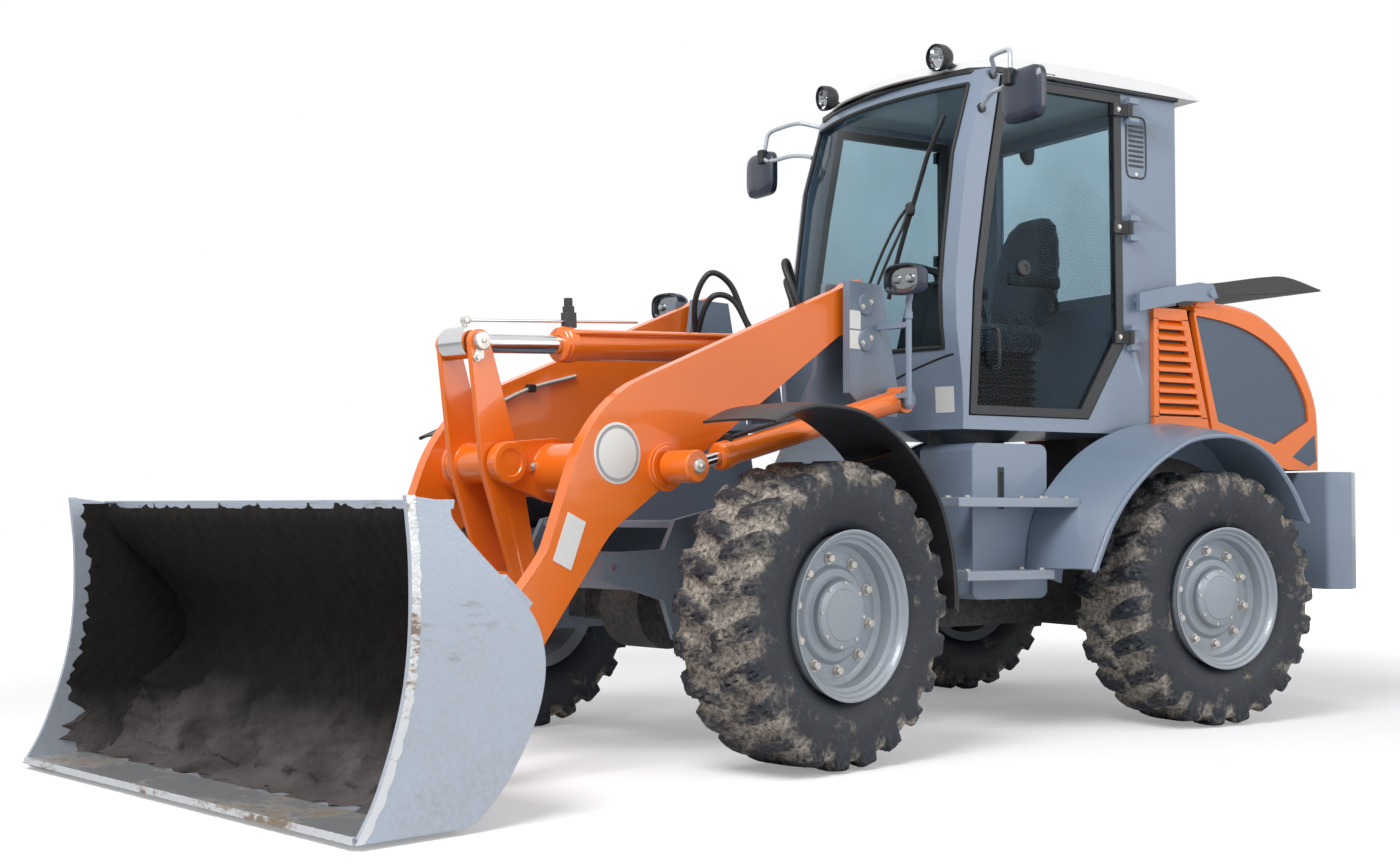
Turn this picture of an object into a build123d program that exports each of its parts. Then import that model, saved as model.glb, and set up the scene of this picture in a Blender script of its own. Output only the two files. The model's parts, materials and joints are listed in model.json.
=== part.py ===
from build123d import *
import os
from math import cos, radians, sin, sqrt

# An articulated wheel loader. Millimetres. While it is modelled, the upright
# articulation pin is at x = 0, y = 0, the floor at z = 0, the machine drives
# towards +X and its left side is at +Y. Both halves are modelled in line, and
# the front half is then turned about the articulation pin by the parked steer
# angle. The last lines move the whole machine so that its origin is the middle
# of its footprint on the floor.

os.makedirs("parts", exist_ok=True)

# --- driving dimensions ---------------------------------------------------
steer = 14.2  # parked articulation, to the left
wheelbase = 2500
half_track = 880
tyre_radius = 560
tyre_width = 390
rim_radius = 313
dish_depth = 130  # how far the disc stands in from the rim's edge

plate = 25  # frame plates
glass = 6
gap = 6  # between panels that move
fit = 1  # round a pin

frame_half = 320  # half the width over the frame's long plates
frame_low = 450
frame_high = 850
axle_half = half_track - 190

arm_outer = 475  # outer face of the lift arms, from the middle
arm_thick = 50
tower_gap = 22  # between the lift arms and the tower's plates
lift_y = 600  # middle of the lift cylinders
lift_barrel = 46
lift_rod = 25
tilt_barrel_radius = 62
tilt_rod_radius = 36
crank_half = 105  # half the width over the tilt lever
crank_thick = 25

bucket_half = 1070
bucket_wall = 14

cab_half = 640
cab_floor = 1290
cab_wall = 50

# --- places, as (x, z) with both halves in line ---------------------------
front_axle_x = wheelbase / 2
rear_axle_x = -wheelbase / 2
boom_pivot = (540, 1790)
bucket_pivot = (2440, 385)
crank_pivot = (2098, 1109)
crank_top = (2200, 1549)
crank_low = (1966, 648)
hook_pivot = (2563, 561)
lift_eye = (1620, 1098)
lift_base = (400, 1398)
tilt_base = (540, 1640)
tube_place = (1880, 1085)
tube_radius = 100
hood_pivot = (-1575, 1962)


def at_y(y):
    """The upright plane at y, with local x forward and local y up."""
    return Plane.XZ.offset(-y)


def slab(points, y, thick, corner=0):
    """A flat plate of outline points (x, z) that reaches from y towards +Y."""
    with BuildSketch(at_y(y)) as outline:
        with BuildLine():
            Polyline(*points, close=True)
        make_face()
        if corner:
            fillet(outline.vertices(), corner)
    extrude(outline.sketch, amount=-thick)


def hull_plate(circles, y, thick):
    """A flat plate round circles (centre, radius), from y towards +Y."""
    with BuildSketch(at_y(y)) as outline:
        for centre, radius in circles:
            with Locations(centre):
                Circle(radius)
        make_hull()
    extrude(outline.sketch, amount=-thick)


def bar_y(place, radius, y_low, y_high, mode=Mode.ADD):
    """A round bar across the machine."""
    with Locations(at_y(y_low).location):
        with Locations((place[0], place[1])):
            Cylinder(radius, y_high - y_low, rotation=(180, 0, 0),
                     align=(Align.CENTER, Align.CENTER, Align.MIN), mode=mode)


def block(x_low, x_high, y_low, y_high, z_low, z_high, mode=Mode.ADD):
    """A straight block between its limits."""
    with Locations(((x_low + x_high) / 2, (y_low + y_high) / 2, (z_low + z_high) / 2)):
        Box(x_high - x_low, y_high - y_low, z_high - z_low, mode=mode)


def rod_between(start, end, y, radius, from_start, to_end, mode=Mode.ADD):
    """A round bar in the plane y on the line start to end, between two distances."""
    spot = Plane(origin=(start[0], y, start[1]), x_dir=(0, 1, 0),
                 z_dir=(end[0] - start[0], 0, end[1] - start[1]))
    with Locations(spot.offset(from_start).location):
        Cylinder(radius, to_end - from_start, align=(Align.CENTER, Align.CENTER, Align.MIN), mode=mode)


def span(start, end):
    return sqrt((end[0] - start[0]) ** 2 + (end[1] - start[1]) ** 2)


rear_pieces = []
front_pieces = []


def keep(piece, label, pieces):
    piece.label = label
    pieces.append(piece)


# --- axles ----------------------------------------------------------------
ball_radius = 175
tube_high = 150
hub_radius = 150
stub_radius = 60
rim_disc_y = half_track + tyre_width / 2 - dish_depth

tower_inner = arm_outer - arm_thick - tower_gap
tower_outer = arm_outer + tower_gap
for axle_name, axle_x, frame_inside, pieces in (
    ("front_axle", front_axle_x, tower_inner - plate, front_pieces),
    ("rear_axle", rear_axle_x, frame_half - plate, rear_pieces),
):
    with BuildPart() as axle:
        centre = (axle_x, tyre_radius)
        bar_y(centre, ball_radius, -110, 110)
        bar_y(centre, tube_high / 2, -axle_half + 60, axle_half - 60)
        bar_y(centre, tube_high / 2 + 35, axle_half - 200, axle_half - 20)
        bar_y(centre, tube_high / 2 + 35, -axle_half + 20, -axle_half + 200)
        bar_y(centre, stub_radius, -rim_disc_y + 60, rim_disc_y - 60)
        block(axle_x - 110, axle_x + 110, frame_inside - 100, frame_inside, tyre_radius - 60, frame_low + 260)
        block(axle_x - 110, axle_x + 110, -frame_inside, 100 - frame_inside, tyre_radius - 60, frame_low + 260)
    keep(axle.part, axle_name, pieces)

# --- wheels ---------------------------------------------------------------
for corner_name, axle_x, side, pieces in (
    ("front_left", front_axle_x, 1, front_pieces),
    ("front_right", front_axle_x, -1, front_pieces),
    ("rear_left", rear_axle_x, 1, rear_pieces),
    ("rear_right", rear_axle_x, -1, rear_pieces),
):
    hub = Plane(origin=(axle_x, side * half_track, tyre_radius), x_dir=(1, 0, 0), z_dir=(0, side, 0))
    half = tyre_width / 2
    with BuildPart() as tyre:
        with BuildSketch(Plane(hub.origin, x_dir=hub.x_dir, z_dir=(0, 0, side))) as section:
            with BuildLine():
                Polyline(
                    (rim_radius - 14, -half + 45),
                    (rim_radius + 8, -half + 20),
                    (tyre_radius - 130, -half + 2),
                    (tyre_radius - 70, -half),
                    (tyre_radius - 18, -half + 18),
                    (tyre_radius, -half + 60),
                    (tyre_radius, half - 60),
                    (tyre_radius - 18, half - 18),
                    (tyre_radius - 70, half),
                    (tyre_radius - 130, half - 2),
                    (rim_radius + 8, half - 20),
                    (rim_radius - 14, half - 45),
                    close=True,
                )
            make_face()
        revolve(section.sketch, axis=Axis(hub.origin, hub.z_dir))
    keep(tyre.part, "tyre_" + corner_name, pieces)

    with BuildPart() as rim:
        with BuildSketch(Plane(hub.origin, x_dir=hub.x_dir, z_dir=(0, 0, side))) as section:
            with BuildLine():
                Polyline(
                    (rim_radius - 15, half - 20),
                    (rim_radius + 6, half - 12),
                    (rim_radius - 4, half),
                    (rim_radius - 36, half - 22),
                    (rim_radius - 46, half - dish_depth + 20),
                    (hub_radius + 50, half - dish_depth + 8),
                    (hub_radius - 20, half - dish_depth + 26),
                    (hub_radius - 30, half - dish_depth + 66),
                    (0, half - dish_depth + 76),
                    (0, half - dish_depth - 46),
                    (hub_radius, half - dish_depth - 46),
                    (hub_radius + 40, half - dish_depth - 8),
                    (rim_radius - 60, half - dish_depth - 4),
                    (rim_radius - 60, -half + 40),
                    (rim_radius - 15, -half + 14),
                    (rim_radius - 15, -half + 44),
                    (rim_radius - 40, -half + 56),
                    (rim_radius - 40, half - 60),
                    close=True,
                )
            make_face()
        revolve(section.sketch, axis=Axis(hub.origin, hub.z_dir))
        with Locations(hub.offset(half - dish_depth - 47).location):
            Cylinder(stub_radius + 10, 60, align=(Align.CENTER, Align.CENTER, Align.MIN), mode=Mode.SUBTRACT)
    keep(rim.part, "rim_" + corner_name, pieces)

# --- rear frame -----------------------------------------------------------
joint_bore = 60
joint_pin = joint_bore - fit
yoke_levels = (520, 850)  # undersides of the front frame's two hitch plates
yoke_thick = 60

steer_level = 700
steer_back = (-430, 150)  # x, y of the steering cylinders' rear pins
steer_front = (150, 230)  # x, y of their front pins, with both halves in line
steer_pin = 20
steer_barrel_radius = 38
steer_rod_radius = 20
steer_barrel_length = 380  # from the rear pin to the barrel's mouth
steer_rod_length = 366  # from the front pin to the rod's inner end
steer_eye = 70  # height of a steering cylinder's eyes
steer_lugs = ((steer_level - 63, steer_level - 45), (steer_level + 45, steer_level + 63))
steer_bay = 60  # half the height left free for the steering cylinders

with BuildPart() as rear_chassis:
    slab([(-150, frame_low), (-300, frame_low - 30), (-2300, frame_low), (-2380, 620),
          (-2380, frame_high), (-150, frame_high + 40)], frame_half - plate, plate)
    mirror(about=Plane.XZ)
    block(-180, -150, -frame_half, frame_half, frame_low, steer_level - steer_bay)
    block(-180, -150, -frame_half, frame_half, steer_level + steer_bay, frame_high + 40)
    block(-2400, -2350, -frame_half, frame_half, 560, frame_high)
    block(-1000, -960, -frame_half, frame_half, frame_low + 20, frame_high - 60)
    block(-1760, -1720, -frame_half, frame_half, frame_low + 20, frame_high - 60)
    block(-1400, -1100, -frame_half, frame_half, frame_high - 100, frame_high - 70)
    for level in yoke_levels:
        for level_low in (level - gap - 40, level + yoke_thick + gap):
            block(-160, 0, -110, 110, level_low, level_low + 40)
            with Locations((0, 0, level_low)):
                Cylinder(110, 40, align=(Align.CENTER, Align.CENTER, Align.MIN))
    with Locations((0, 0, yoke_levels[0] - 60)):
        Cylinder(joint_pin, yoke_levels[1] - yoke_levels[0] + 200,
                 align=(Align.CENTER, Align.CENTER, Align.MIN))
    bar_y((rear_axle_x, tyre_radius), tube_high / 2, -frame_half, frame_half, mode=Mode.SUBTRACT)
    for x in (-260, -1150):
        for y in (-frame_half, frame_half - plate):
            block(x, x + 60, y, y + plate, frame_high, cab_floor)
    for y in (-frame_half, frame_half - plate):
        slab([(-1800, 840), (-1640, 840), (-1640, 1060), (-1760, 1060)], y, plate)
    for side in (1, -1):
        with Locations((steer_back[0], side * steer_back[1], steer_lugs[0][0])):
            Cylinder(steer_pin, steer_lugs[1][1] - steer_lugs[0][0], align=(Align.CENTER, Align.CENTER, Align.MIN))
        for lug_low, lug_high in steer_lugs:
            near, far = sorted((side * (steer_back[1] - 45), side * (frame_half - plate)))
            block(steer_back[0] - 45, steer_back[0] + 45, near, far, lug_low, lug_high)
keep(rear_chassis.part, "rear_chassis", rear_pieces)

with BuildPart() as engine:
    block(-2080, -1420, -290, 290, frame_high - 60, 1500)
    fillet(engine.edges().filter_by(Axis.X), 60)
keep(engine.part, "engine_block", rear_pieces)

tow_pin_x = -2555
tow_pin_radius = 16
with BuildPart() as counterweight:
    with BuildSketch(Plane.XY.offset(570)) as outline:
        with BuildLine():
            Polyline((-2190, -830), (-2300, -880), (-2430, -800), (-2600, -420), (-2600, 420),
                     (-2430, 800), (-2300, 880), (-2190, 830), close=True)
        make_face()
    extrude(outline.sketch, amount=560)
    fillet(counterweight.edges().filter_by(Axis.Z), 30)
    block(-2400, -2100, -frame_half, frame_half, 500, frame_high + 6, mode=Mode.SUBTRACT)
    bar_height = 660
    with Locations((-2590, 0, bar_height)):
        Box(120, 160, 70, mode=Mode.SUBTRACT)
    with Locations((tow_pin_x, 0, 560)):
        Cylinder(tow_pin_radius, 600, align=(Align.CENTER, Align.CENTER, Align.MIN), mode=Mode.SUBTRACT)
keep(counterweight.part, "counterweight", rear_pieces)

# --- under the cab: side panels, steps, tank ------------------------------
panel_half = 684
with BuildPart() as side_tanks:
    for side in (1, -1):
        near, far = sorted((side * frame_half, side * panel_half))
        block(-560, -140, near, far, 560, cab_floor - 60)
    fillet(side_tanks.edges().filter_by(Axis.Y), 40)
keep(side_tanks.part, "side_tanks", rear_pieces)

step_reach = 880
step_thick = 40
with BuildPart() as steps:
    for x_front, x_back, height in ((92, -570, 994), (47, -425, 690)):
        for side in (1, -1):
            near, far = sorted((side * panel_half, side * step_reach))
            block(x_back, x_front, near, far, height - step_thick, height)
keep(steps.part, "steps", rear_pieces)

# --- rear fenders ---------------------------------------------------------
fender_inner = 690
fender_outer = 1050
rear_fender_outline = [(-441, 640), (-470, 760), (-584, 950), (-817, 1170), (-1113, 1260), (-1417, 1240),
                       (-1665, 1095), (-1808, 902)]


def fender_shell(outline, wall, axle_x, stays):
    """A strip of the outline (x, z), a web inside it round the wheel, and round stays from the frame."""
    slab(outline, fender_inner, 8)
    bar_y((axle_x, tyre_radius), tyre_radius + 40, fender_inner - 1, fender_inner + 9, mode=Mode.SUBTRACT)
    for stay_x, stay_z, frame_side in stays:
        bar_y((stay_x, stay_z), 20, frame_side, fender_inner + 4)
    with BuildSketch(at_y(fender_inner)) as strip:
        with BuildLine():
            arc = Polyline(*outline)
        trace(arc, wall)
    extrude(strip.sketch, amount=-(fender_outer - fender_inner))


with BuildPart() as rear_fenders:
    fender_shell(rear_fender_outline, 16, rear_axle_x, ((-592, 800, frame_half), (-1700, 1010, frame_half)))
    mirror(about=Plane.XZ)
keep(rear_fenders.part, "rear_fenders", rear_pieces)

# --- cab ------------------------------------------------------------------
roof_edge = 2870
windscreen_low = (-120, 1330)
windscreen_high = (-330, roof_edge)
cab_back_low = -1260
cab_back_high = -1400


def lean(z):
    """The x of the windscreen's line at height z."""
    share = (z - windscreen_low[1]) / (windscreen_high[1] - windscreen_low[1])
    return windscreen_low[0] + share * (windscreen_high[0] - windscreen_low[0])


cab_side = [(lean(cab_floor), cab_floor), (lean(roof_edge), roof_edge), (cab_back_high, roof_edge),
            (cab_back_high, 1900), (cab_back_low, 1870), (cab_back_low, cab_floor)]
door_outline = [(-210, 1349), (-846, 1349), (-1065, 1693), (-1056, 2850), (-414, 2850)]

hinge_x = -1090
hinge_y = cab_half + 22
hinge_levels = (1730, 2234, 2775)
hinge_pin = 7
knuckle = 15
knuckle_high = 56

with BuildPart() as cab_frame:
    slab(cab_side, -cab_half, 2 * cab_half)
    hollow = [(lean(cab_floor) - cab_wall, cab_floor + cab_wall), (lean(roof_edge) - cab_wall, roof_edge + 1),
              (cab_back_high + cab_wall, roof_edge + 1), (cab_back_high + cab_wall, 1900 + cab_wall),
              (cab_back_low + cab_wall, 1870 + cab_wall), (cab_back_low + cab_wall, cab_floor + cab_wall)]
    with BuildSketch(at_y(-cab_half + cab_wall)) as inside:
        with BuildLine():
            Polyline(*hollow, close=True)
        make_face()
    extrude(inside.sketch, amount=-2 * (cab_half - cab_wall), mode=Mode.SUBTRACT)
    with BuildSketch(at_y(-cab_half - 1)) as door_way:
        with BuildLine():
            Polyline(*door_outline, close=True)
        make_face()
    extrude(door_way.sketch, amount=-2 * (cab_half + 1), mode=Mode.SUBTRACT)
    with BuildSketch(at_y(-cab_half + 70)) as screen_way:
        with BuildLine():
            Polyline((lean(1640) + 5, 1640), (lean(roof_edge - 60) + 5, roof_edge - 60),
                     (lean(roof_edge - 60) - cab_wall - 30, roof_edge - 60),
                     (lean(1640) - cab_wall - 30, 1640), close=True)
        make_face()
    extrude(screen_way.sketch, amount=-2 * (cab_half - 70), mode=Mode.SUBTRACT)
    block(-1500, -1330, -cab_half + 60, cab_half - 60, 1990, roof_edge - 60, mode=Mode.SUBTRACT)
    for side in (1, -1):
        for level in hinge_levels:
            with Locations((hinge_x, side * hinge_y, level)):
                Cylinder(hinge_pin, knuckle_high + 60)
            near, far = sorted((side * (cab_half - 1), side * (hinge_y + knuckle)))
            for lug_low in (level - knuckle_high / 2 - 30, level + knuckle_high / 2 + 6):
                block(hinge_x - 48, hinge_x + 10, near, far, lug_low, lug_low + 24)
keep(cab_frame.part, "cab_frame", rear_pieces)

with BuildPart() as windshield:
    low, high = 1640, roof_edge - 60
    inset = 20
    with BuildSketch(at_y(-cab_half + 70)) as pane:
        with BuildLine():
            Polyline((lean(low) - inset, low), (lean(high) - inset, high), (lean(high) - inset - glass, high),
                     (lean(low) - inset - glass, low), close=True)
        make_face()
    extrude(pane.sketch, amount=-2 * (cab_half - 70))
keep(windshield.part, "windshield", rear_pieces)

with BuildPart() as rear_window:
    block(cab_back_high + 16, cab_back_high + 16 + glass, -cab_half + 60, cab_half - 60, 1990, roof_edge - 60)
keep(rear_window.part, "rear_window", rear_pieces)

with BuildPart() as cab_roof:
    with BuildSketch(Plane.XY.offset(roof_edge)) as outline:
        with BuildLine():
            Polyline((-230, -cab_half + 60), (-180, 0), (-230, cab_half - 60), (-330, cab_half + 20),
                     (-1440, cab_half + 20), (-1530, cab_half - 60), (-1530, -cab_half + 60),
                     (-1440, -cab_half - 20), (-330, -cab_half - 20), close=True)
        make_face()
    extrude(outline.sketch, amount=125, taper=24)
keep(cab_roof.part, "cab_roof", rear_pieces)

# Doors: a frame and a pane each, hinged along the rear edge.


def shrink(points, by):
    """The outline moved towards its middle along x and z."""
    x_mid = sum(p[0] for p in points) / len(points)
    z_mid = sum(p[1] for p in points) / len(points)
    moved = []
    for x, z in points:
        moved.append((x - by if x > x_mid else x + by, z - by if z > z_mid else z + by))
    return moved


for side_name, side in (("left", 1), ("right", -1)):
    with BuildPart() as door_frame:
        with BuildSketch(at_y(side * (cab_half - 30)) if side > 0 else at_y(-cab_half + 30 - 36)) as ring:
            with BuildLine():
                Polyline(*shrink(door_outline, gap), close=True)
            make_face()
            with BuildLine():
                Polyline(*shrink(door_outline, gap + 38), close=True)
            make_face(mode=Mode.SUBTRACT)
        extrude(ring.sketch, amount=-36)
        for level in hinge_levels:
            near, far = sorted((side * (hinge_y - knuckle), side * hinge_y))
            block(hinge_x, -1000, near, far, level - knuckle_high / 2, level + knuckle_high / 2)
            near, far = sorted((side * (cab_half - 2), side * (hinge_y - 3)))
            block(-1050, -1000, near, far, level - knuckle_high / 2, level + knuckle_high / 2)
            with Locations((hinge_x, side * hinge_y, level)):
                Cylinder(knuckle, knuckle_high)
                Cylinder(hinge_pin + fit, knuckle_high, mode=Mode.SUBTRACT)
    keep(door_frame.part, "door_frame_" + side_name, rear_pieces)
    with BuildPart() as door_glass:
        with BuildSketch(at_y(side * (cab_half - 10)) if side > 0 else at_y(-cab_half + 10 - glass)) as pane:
            with BuildLine():
                Polyline(*shrink(door_outline, gap + 38), close=True)
            make_face()
        extrude(pane.sketch, amount=-glass)
    keep(door_glass.part, "door_glass_" + side_name, rear_pieces)

# Seat and steering column.
with BuildPart() as seat:
    block(-1060, -560, -240, 240, 1690, 1810)
    with BuildSketch(at_y(-235)) as back:
        with BuildLine():
            Polyline((-1060, 1800), (-960, 1800), (-1060, 2380), (-1150, 2380), close=True)
        make_face()
    extrude(back.sketch, amount=-470)
    block(-1000, -620, -200, 200, cab_floor + cab_wall, 1692)
keep(seat.part, "seat", rear_pieces)

with BuildPart() as steering_console:
    with BuildSketch(at_y(-90)) as column:
        with BuildLine():
            Polyline((-230, cab_floor + cab_wall), (-380, cab_floor + cab_wall), (-470, 1960), (-400, 1990),
                     close=True)
        make_face()
    extrude(column.sketch, amount=-180)
    with Locations(Plane(origin=(-445, 0, 1995), x_dir=(0, 1, 0), z_dir=(-0.45, 0, 0.9))):
        Cylinder(195, 22)
        Cylinder(168, 24, mode=Mode.SUBTRACT)
        Box(350, 40, 16)
        Cylinder(30, 80, align=(Align.CENTER, Align.CENTER, Align.MAX))
keep(steering_console.part, "steering_console", rear_pieces)

# --- hood -----------------------------------------------------------------
hood_half = 665
hood_top = [(-1483, 1890), (-1490, 1921), (-1877, 1849), (-2144, 1621), (-2289, 1332), (-2347, 1140),
            (-1900, 1180), (-1602, 1300), (-1487, 1865)]

with BuildPart() as hood_shell:
    slab(hood_top, -hood_half, 2 * hood_half)
    with BuildSketch(at_y(-hood_half + 30)) as inside:
        with BuildLine():
            Polyline((-1400, 1906), (-1862, 1822), (-2118, 1606), (-2260, 1320), (-2320, 1100),
                     (-1500, 1100), (-1400, 1760), close=True)
        make_face()
    extrude(inside.sketch, amount=-2 * (hood_half - 30), mode=Mode.SUBTRACT)
    slab([(-1650, 1880), (-1500, 1908), (-1540, 1995), (-1610, 1995)], hood_half - 30, 28)
    slab([(-1650, 1880), (-1500, 1908), (-1540, 1995), (-1610, 1995)], 2 - hood_half, 28)
    bar_y(hood_pivot, 20 + fit, -hood_half, hood_half, mode=Mode.SUBTRACT)
keep(hood_shell.part, "hood_shell", rear_pieces)

with BuildPart() as hood_scoop:
    with BuildSketch(at_y(-475)) as outline:
        with BuildLine():
            Polyline((-1640, 1894), (-1612, 1940), (-2223, 2125), (-2600, 2062), (-2366, 2035), (-1900, 1975),
                     (-1850, 1855), close=True)
        make_face()
    extrude(outline.sketch, amount=-950)
keep(hood_scoop.part, "hood_scoop", rear_pieces)

with BuildPart() as vent_panels:
    slab([(cab_back_low, 1312), (-1590, 1312), (-1478, 1866), (cab_back_low, 1866)], hood_half - 60, 60)
    mirror(about=Plane.XZ)
    block(-1478, cab_back_low, -hood_half + 60, hood_half - 60, 1856, 1866)
keep(vent_panels.part, "vent_panels", rear_pieces)

with BuildPart() as hinge_arms:
    slab([(-1115, 1935), (-1115, 1850), (-1250, 1880), (-1400, 1915), (-1560, 1922), (-1620, 1945),
          (-1590, 2005), (-1500, 2010), (-1300, 1975)], hood_half + gap, 22)
    bar_y(hood_pivot, 20, hood_half - 32, hood_half + 40)
    bar_y((-1145, 1905), 18, cab_half, hood_half + gap)
    mirror(about=Plane.XZ)
keep(hinge_arms.part, "hood_hinge_arms", rear_pieces)

# --- mirrors and lamps on the cab -----------------------------------------
with BuildPart() as mirrors:
    for side in (1, -1):
        near, far = sorted((side * 900, side * 1130))
        block(-175, -125, near, far, 2480, 2760)
        near, far = sorted((side * cab_half, side * 1010))
        block(-360, -340, near, far, 2800, 2820)
        near, far = sorted((side * 990, side * 1010))
        block(-360, -140, near, far, 2800, 2820)
        block(-160, -140, near, far, 2755, 2820)
keep(mirrors.part, "mirrors", rear_pieces)

with BuildPart() as roof_lamps:
    for side in (1, -1):
        with Locations(Plane(origin=(-175, side * 430, 2945), z_dir=(1, 0, -0.15))):
            Cylinder(62, 70)
            Cylinder(22, 150, align=(Align.CENTER, Align.CENTER, Align.MAX))
    add(cab_roof.part, mode=Mode.SUBTRACT)
keep(roof_lamps.part, "roof_lamps", rear_pieces)

# --- front frame ----------------------------------------------------------
lash_hole = (1815, 732)
lash_radius = 20
hitch_back = 230  # x of the front frame's rear cross plate
with BuildPart() as front_chassis:
    slab([(hitch_back, 500), (hitch_back, 1000), (290, 1300), (420, 1880), (640, 1880), (700, 1500), (1000, 1000),
          (1500, 900), (1560, 790), (1860, 780), (1860, 685), (1560, 600), (1500, frame_low), (300, frame_low)],
         tower_inner - plate, plate)
    mirror(about=Plane.XZ)
    block(hitch_back, hitch_back + plate, -tower_inner, tower_inner, 500, 960)
    block(1660, 1690, -tower_inner, tower_inner, 640, 780)
    bar_y(lash_hole, lash_radius, -tower_inner, tower_inner, mode=Mode.SUBTRACT)
    block(500, 1500, -tower_inner, tower_inner, 870, 895)
    slab([(330, 1330), (330, 1460), (430, 1880), (640, 1880), (640, 1420), (520, 1330)], tower_outer, 35)
    mirror(about=Plane.XZ)
    block(345, 400, tower_inner - plate, tower_outer + 10, 1350, 1440)
    block(345, 400, -tower_outer - 10, -tower_inner + plate, 1350, 1440)
    slab([(340, 1300), (430, 1720), (600, 1720), (560, 1300)], 95, 25)
    mirror(about=Plane.XZ)
    block(300, 560, -tower_inner, tower_inner, 1290, 1315)
    for level in yoke_levels:
        with BuildSketch(Plane.XY.offset(level)) as hitch_plate:
            with BuildLine():
                Polyline((0, -110), (60, -125), (hitch_back + 5, -tower_inner + plate),
                         (hitch_back + 5, tower_inner - plate), (60, 125), (0, 110), close=True)
            make_face()
            Circle(110)
            Circle(joint_bore, mode=Mode.SUBTRACT)
        extrude(hitch_plate.sketch, amount=yoke_thick)
    for side in (1, -1):
        near, far = sorted((side * (tower_inner - plate), side * (tower_outer + 35)))
        bar_y(boom_pivot, 40, near, far)
        bar_y(tilt_base, 30, -120, 120)
        near, far = sorted((side * tower_outer, side * (lift_y + 45)))
        bar_y(lift_base, 28, near, far)
        for lug_low, lug_high in steer_lugs:
            with BuildSketch(Plane.XY.offset(lug_low)) as lug:
                with Locations(steer_front if side > 0 else (steer_front[0], -steer_front[1])):
                    Circle(42)
                with Locations(((steer_front[0] + hitch_back) / 2 + 5, side * steer_front[1])):
                    Rectangle(hitch_back - steer_front[0] + 10, 110)
            extrude(lug.sketch, amount=lug_high - lug_low)
        with Locations((steer_front[0], side * steer_front[1], steer_lugs[1][1])):
            Cylinder(steer_pin + 12, 12, align=(Align.CENTER, Align.CENTER, Align.MIN))
    bar_y((front_axle_x, tyre_radius), tube_high / 2, -tower_inner, tower_inner, mode=Mode.SUBTRACT)
keep(front_chassis.part, "front_chassis", front_pieces)

front_fender_outline = [(1654, 1240), (1467, 1300), (1194, 1290), (917, 1170), (727, 970), (640, 728), (615, 550)]
with BuildPart() as front_fenders:
    fender_shell(front_fender_outline, 10, front_axle_x, ((705, 895, tower_inner), (880, 1110, tower_inner)))
    mirror(about=Plane.XZ)
keep(front_fenders.part, "front_fenders", front_pieces)

with BuildPart() as headlights:
    for side in (1, -1):
        with Locations((452, side * 690, 1371)):
            Cylinder(15, 480, align=(Align.CENTER, Align.CENTER, Align.MIN))
        with Locations((460, side * 700, 1887)):
            Box(90, 190, 130)
        near, far = sorted((side * (tower_outer + 35), side * 690))
        block(440, 464, near, far, 1690, 1712)
keep(headlights.part, "headlights", front_pieces)

# --- lift arms ------------------------------------------------------------
arm_outline = [(500, 1905), (1977, 1327), (2185, 790), (2300, 660), (2520, 440), (2370, 300), (2215, 444),
               (1885, 862), (640, 1655), (480, 1700)]
arm_bends = ((1977, 1327, 600), (2185, 790, 250), (1885, 862, 400))  # x, z, radius
for side_name, side in (("left", 1), ("right", -1)):
    with BuildPart() as arm:
        near, far = sorted((side * (arm_outer - arm_thick), side * arm_outer))
        with BuildSketch(at_y(near)) as outline:
            with BuildLine():
                Polyline(*arm_outline, close=True)
            make_face()
            for x, z, radius in arm_bends:
                fillet(outline.vertices().sort_by_distance((x, z, 0))[0], radius)
        extrude(outline.sketch, amount=-arm_thick)
        bar_y(bucket_pivot, 95, near, far)
        bar_y(boom_pivot, 100, near, far)
        bar_y(boom_pivot, 40 + fit, near, far, mode=Mode.SUBTRACT)
        low, high = sorted((side * arm_outer, side * (arm_outer + 12)))
        bar_y(lift_eye, 72, low, high)
        bar_y(bucket_pivot, 30, near - 60, far + 60)
    keep(arm.part, "boom_arm_" + side_name, front_pieces)

with BuildPart() as cross_tube:
    bar_y(tube_place, tube_radius, -arm_outer + arm_thick, arm_outer - arm_thick)
    hull_plate(((tube_place, tube_radius + 20), (crank_pivot, 76)), crank_half + 8, 28)
    mirror(about=Plane.XZ)
    bar_y(crank_pivot, 40, -crank_half - 50, crank_half + 50)
keep(cross_tube.part, "boom_cross_tube", front_pieces)

# --- tilt linkage ---------------------------------------------------------
with BuildPart() as bellcrank:
    hull_plate(((crank_top, 46), (crank_pivot, 88)), crank_half - crank_thick, crank_thick)
    hull_plate(((crank_low, 56), (crank_pivot, 88)), crank_half - crank_thick, crank_thick)
    mirror(about=Plane.XZ)
    bar_y(crank_pivot, 75, -crank_half, crank_half)
    bar_y(crank_pivot, 40 + fit, -crank_half, crank_half, mode=Mode.SUBTRACT)
    for side in (1, -1):
        near, far = sorted((side * (crank_half - crank_thick), side * (crank_half + 12)))
        bar_y(crank_low, 32, near, far)
keep(bellcrank.part, "bellcrank", front_pieces)

link_half = crank_half - crank_thick - 8
hook_pin = 32
with BuildPart() as tilt_link:
    bar_y(crank_low, 60, -link_half, link_half)
    rod_between(crank_low, hook_pivot, 0, 38, 20, span(crank_low, hook_pivot) - 52)
    bar_y(hook_pivot, 55, -link_half, link_half)
    bar_y(hook_pivot, hook_pin + fit, -link_half, link_half, mode=Mode.SUBTRACT)
keep(tilt_link.part, "tilt_link", front_pieces)

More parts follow.
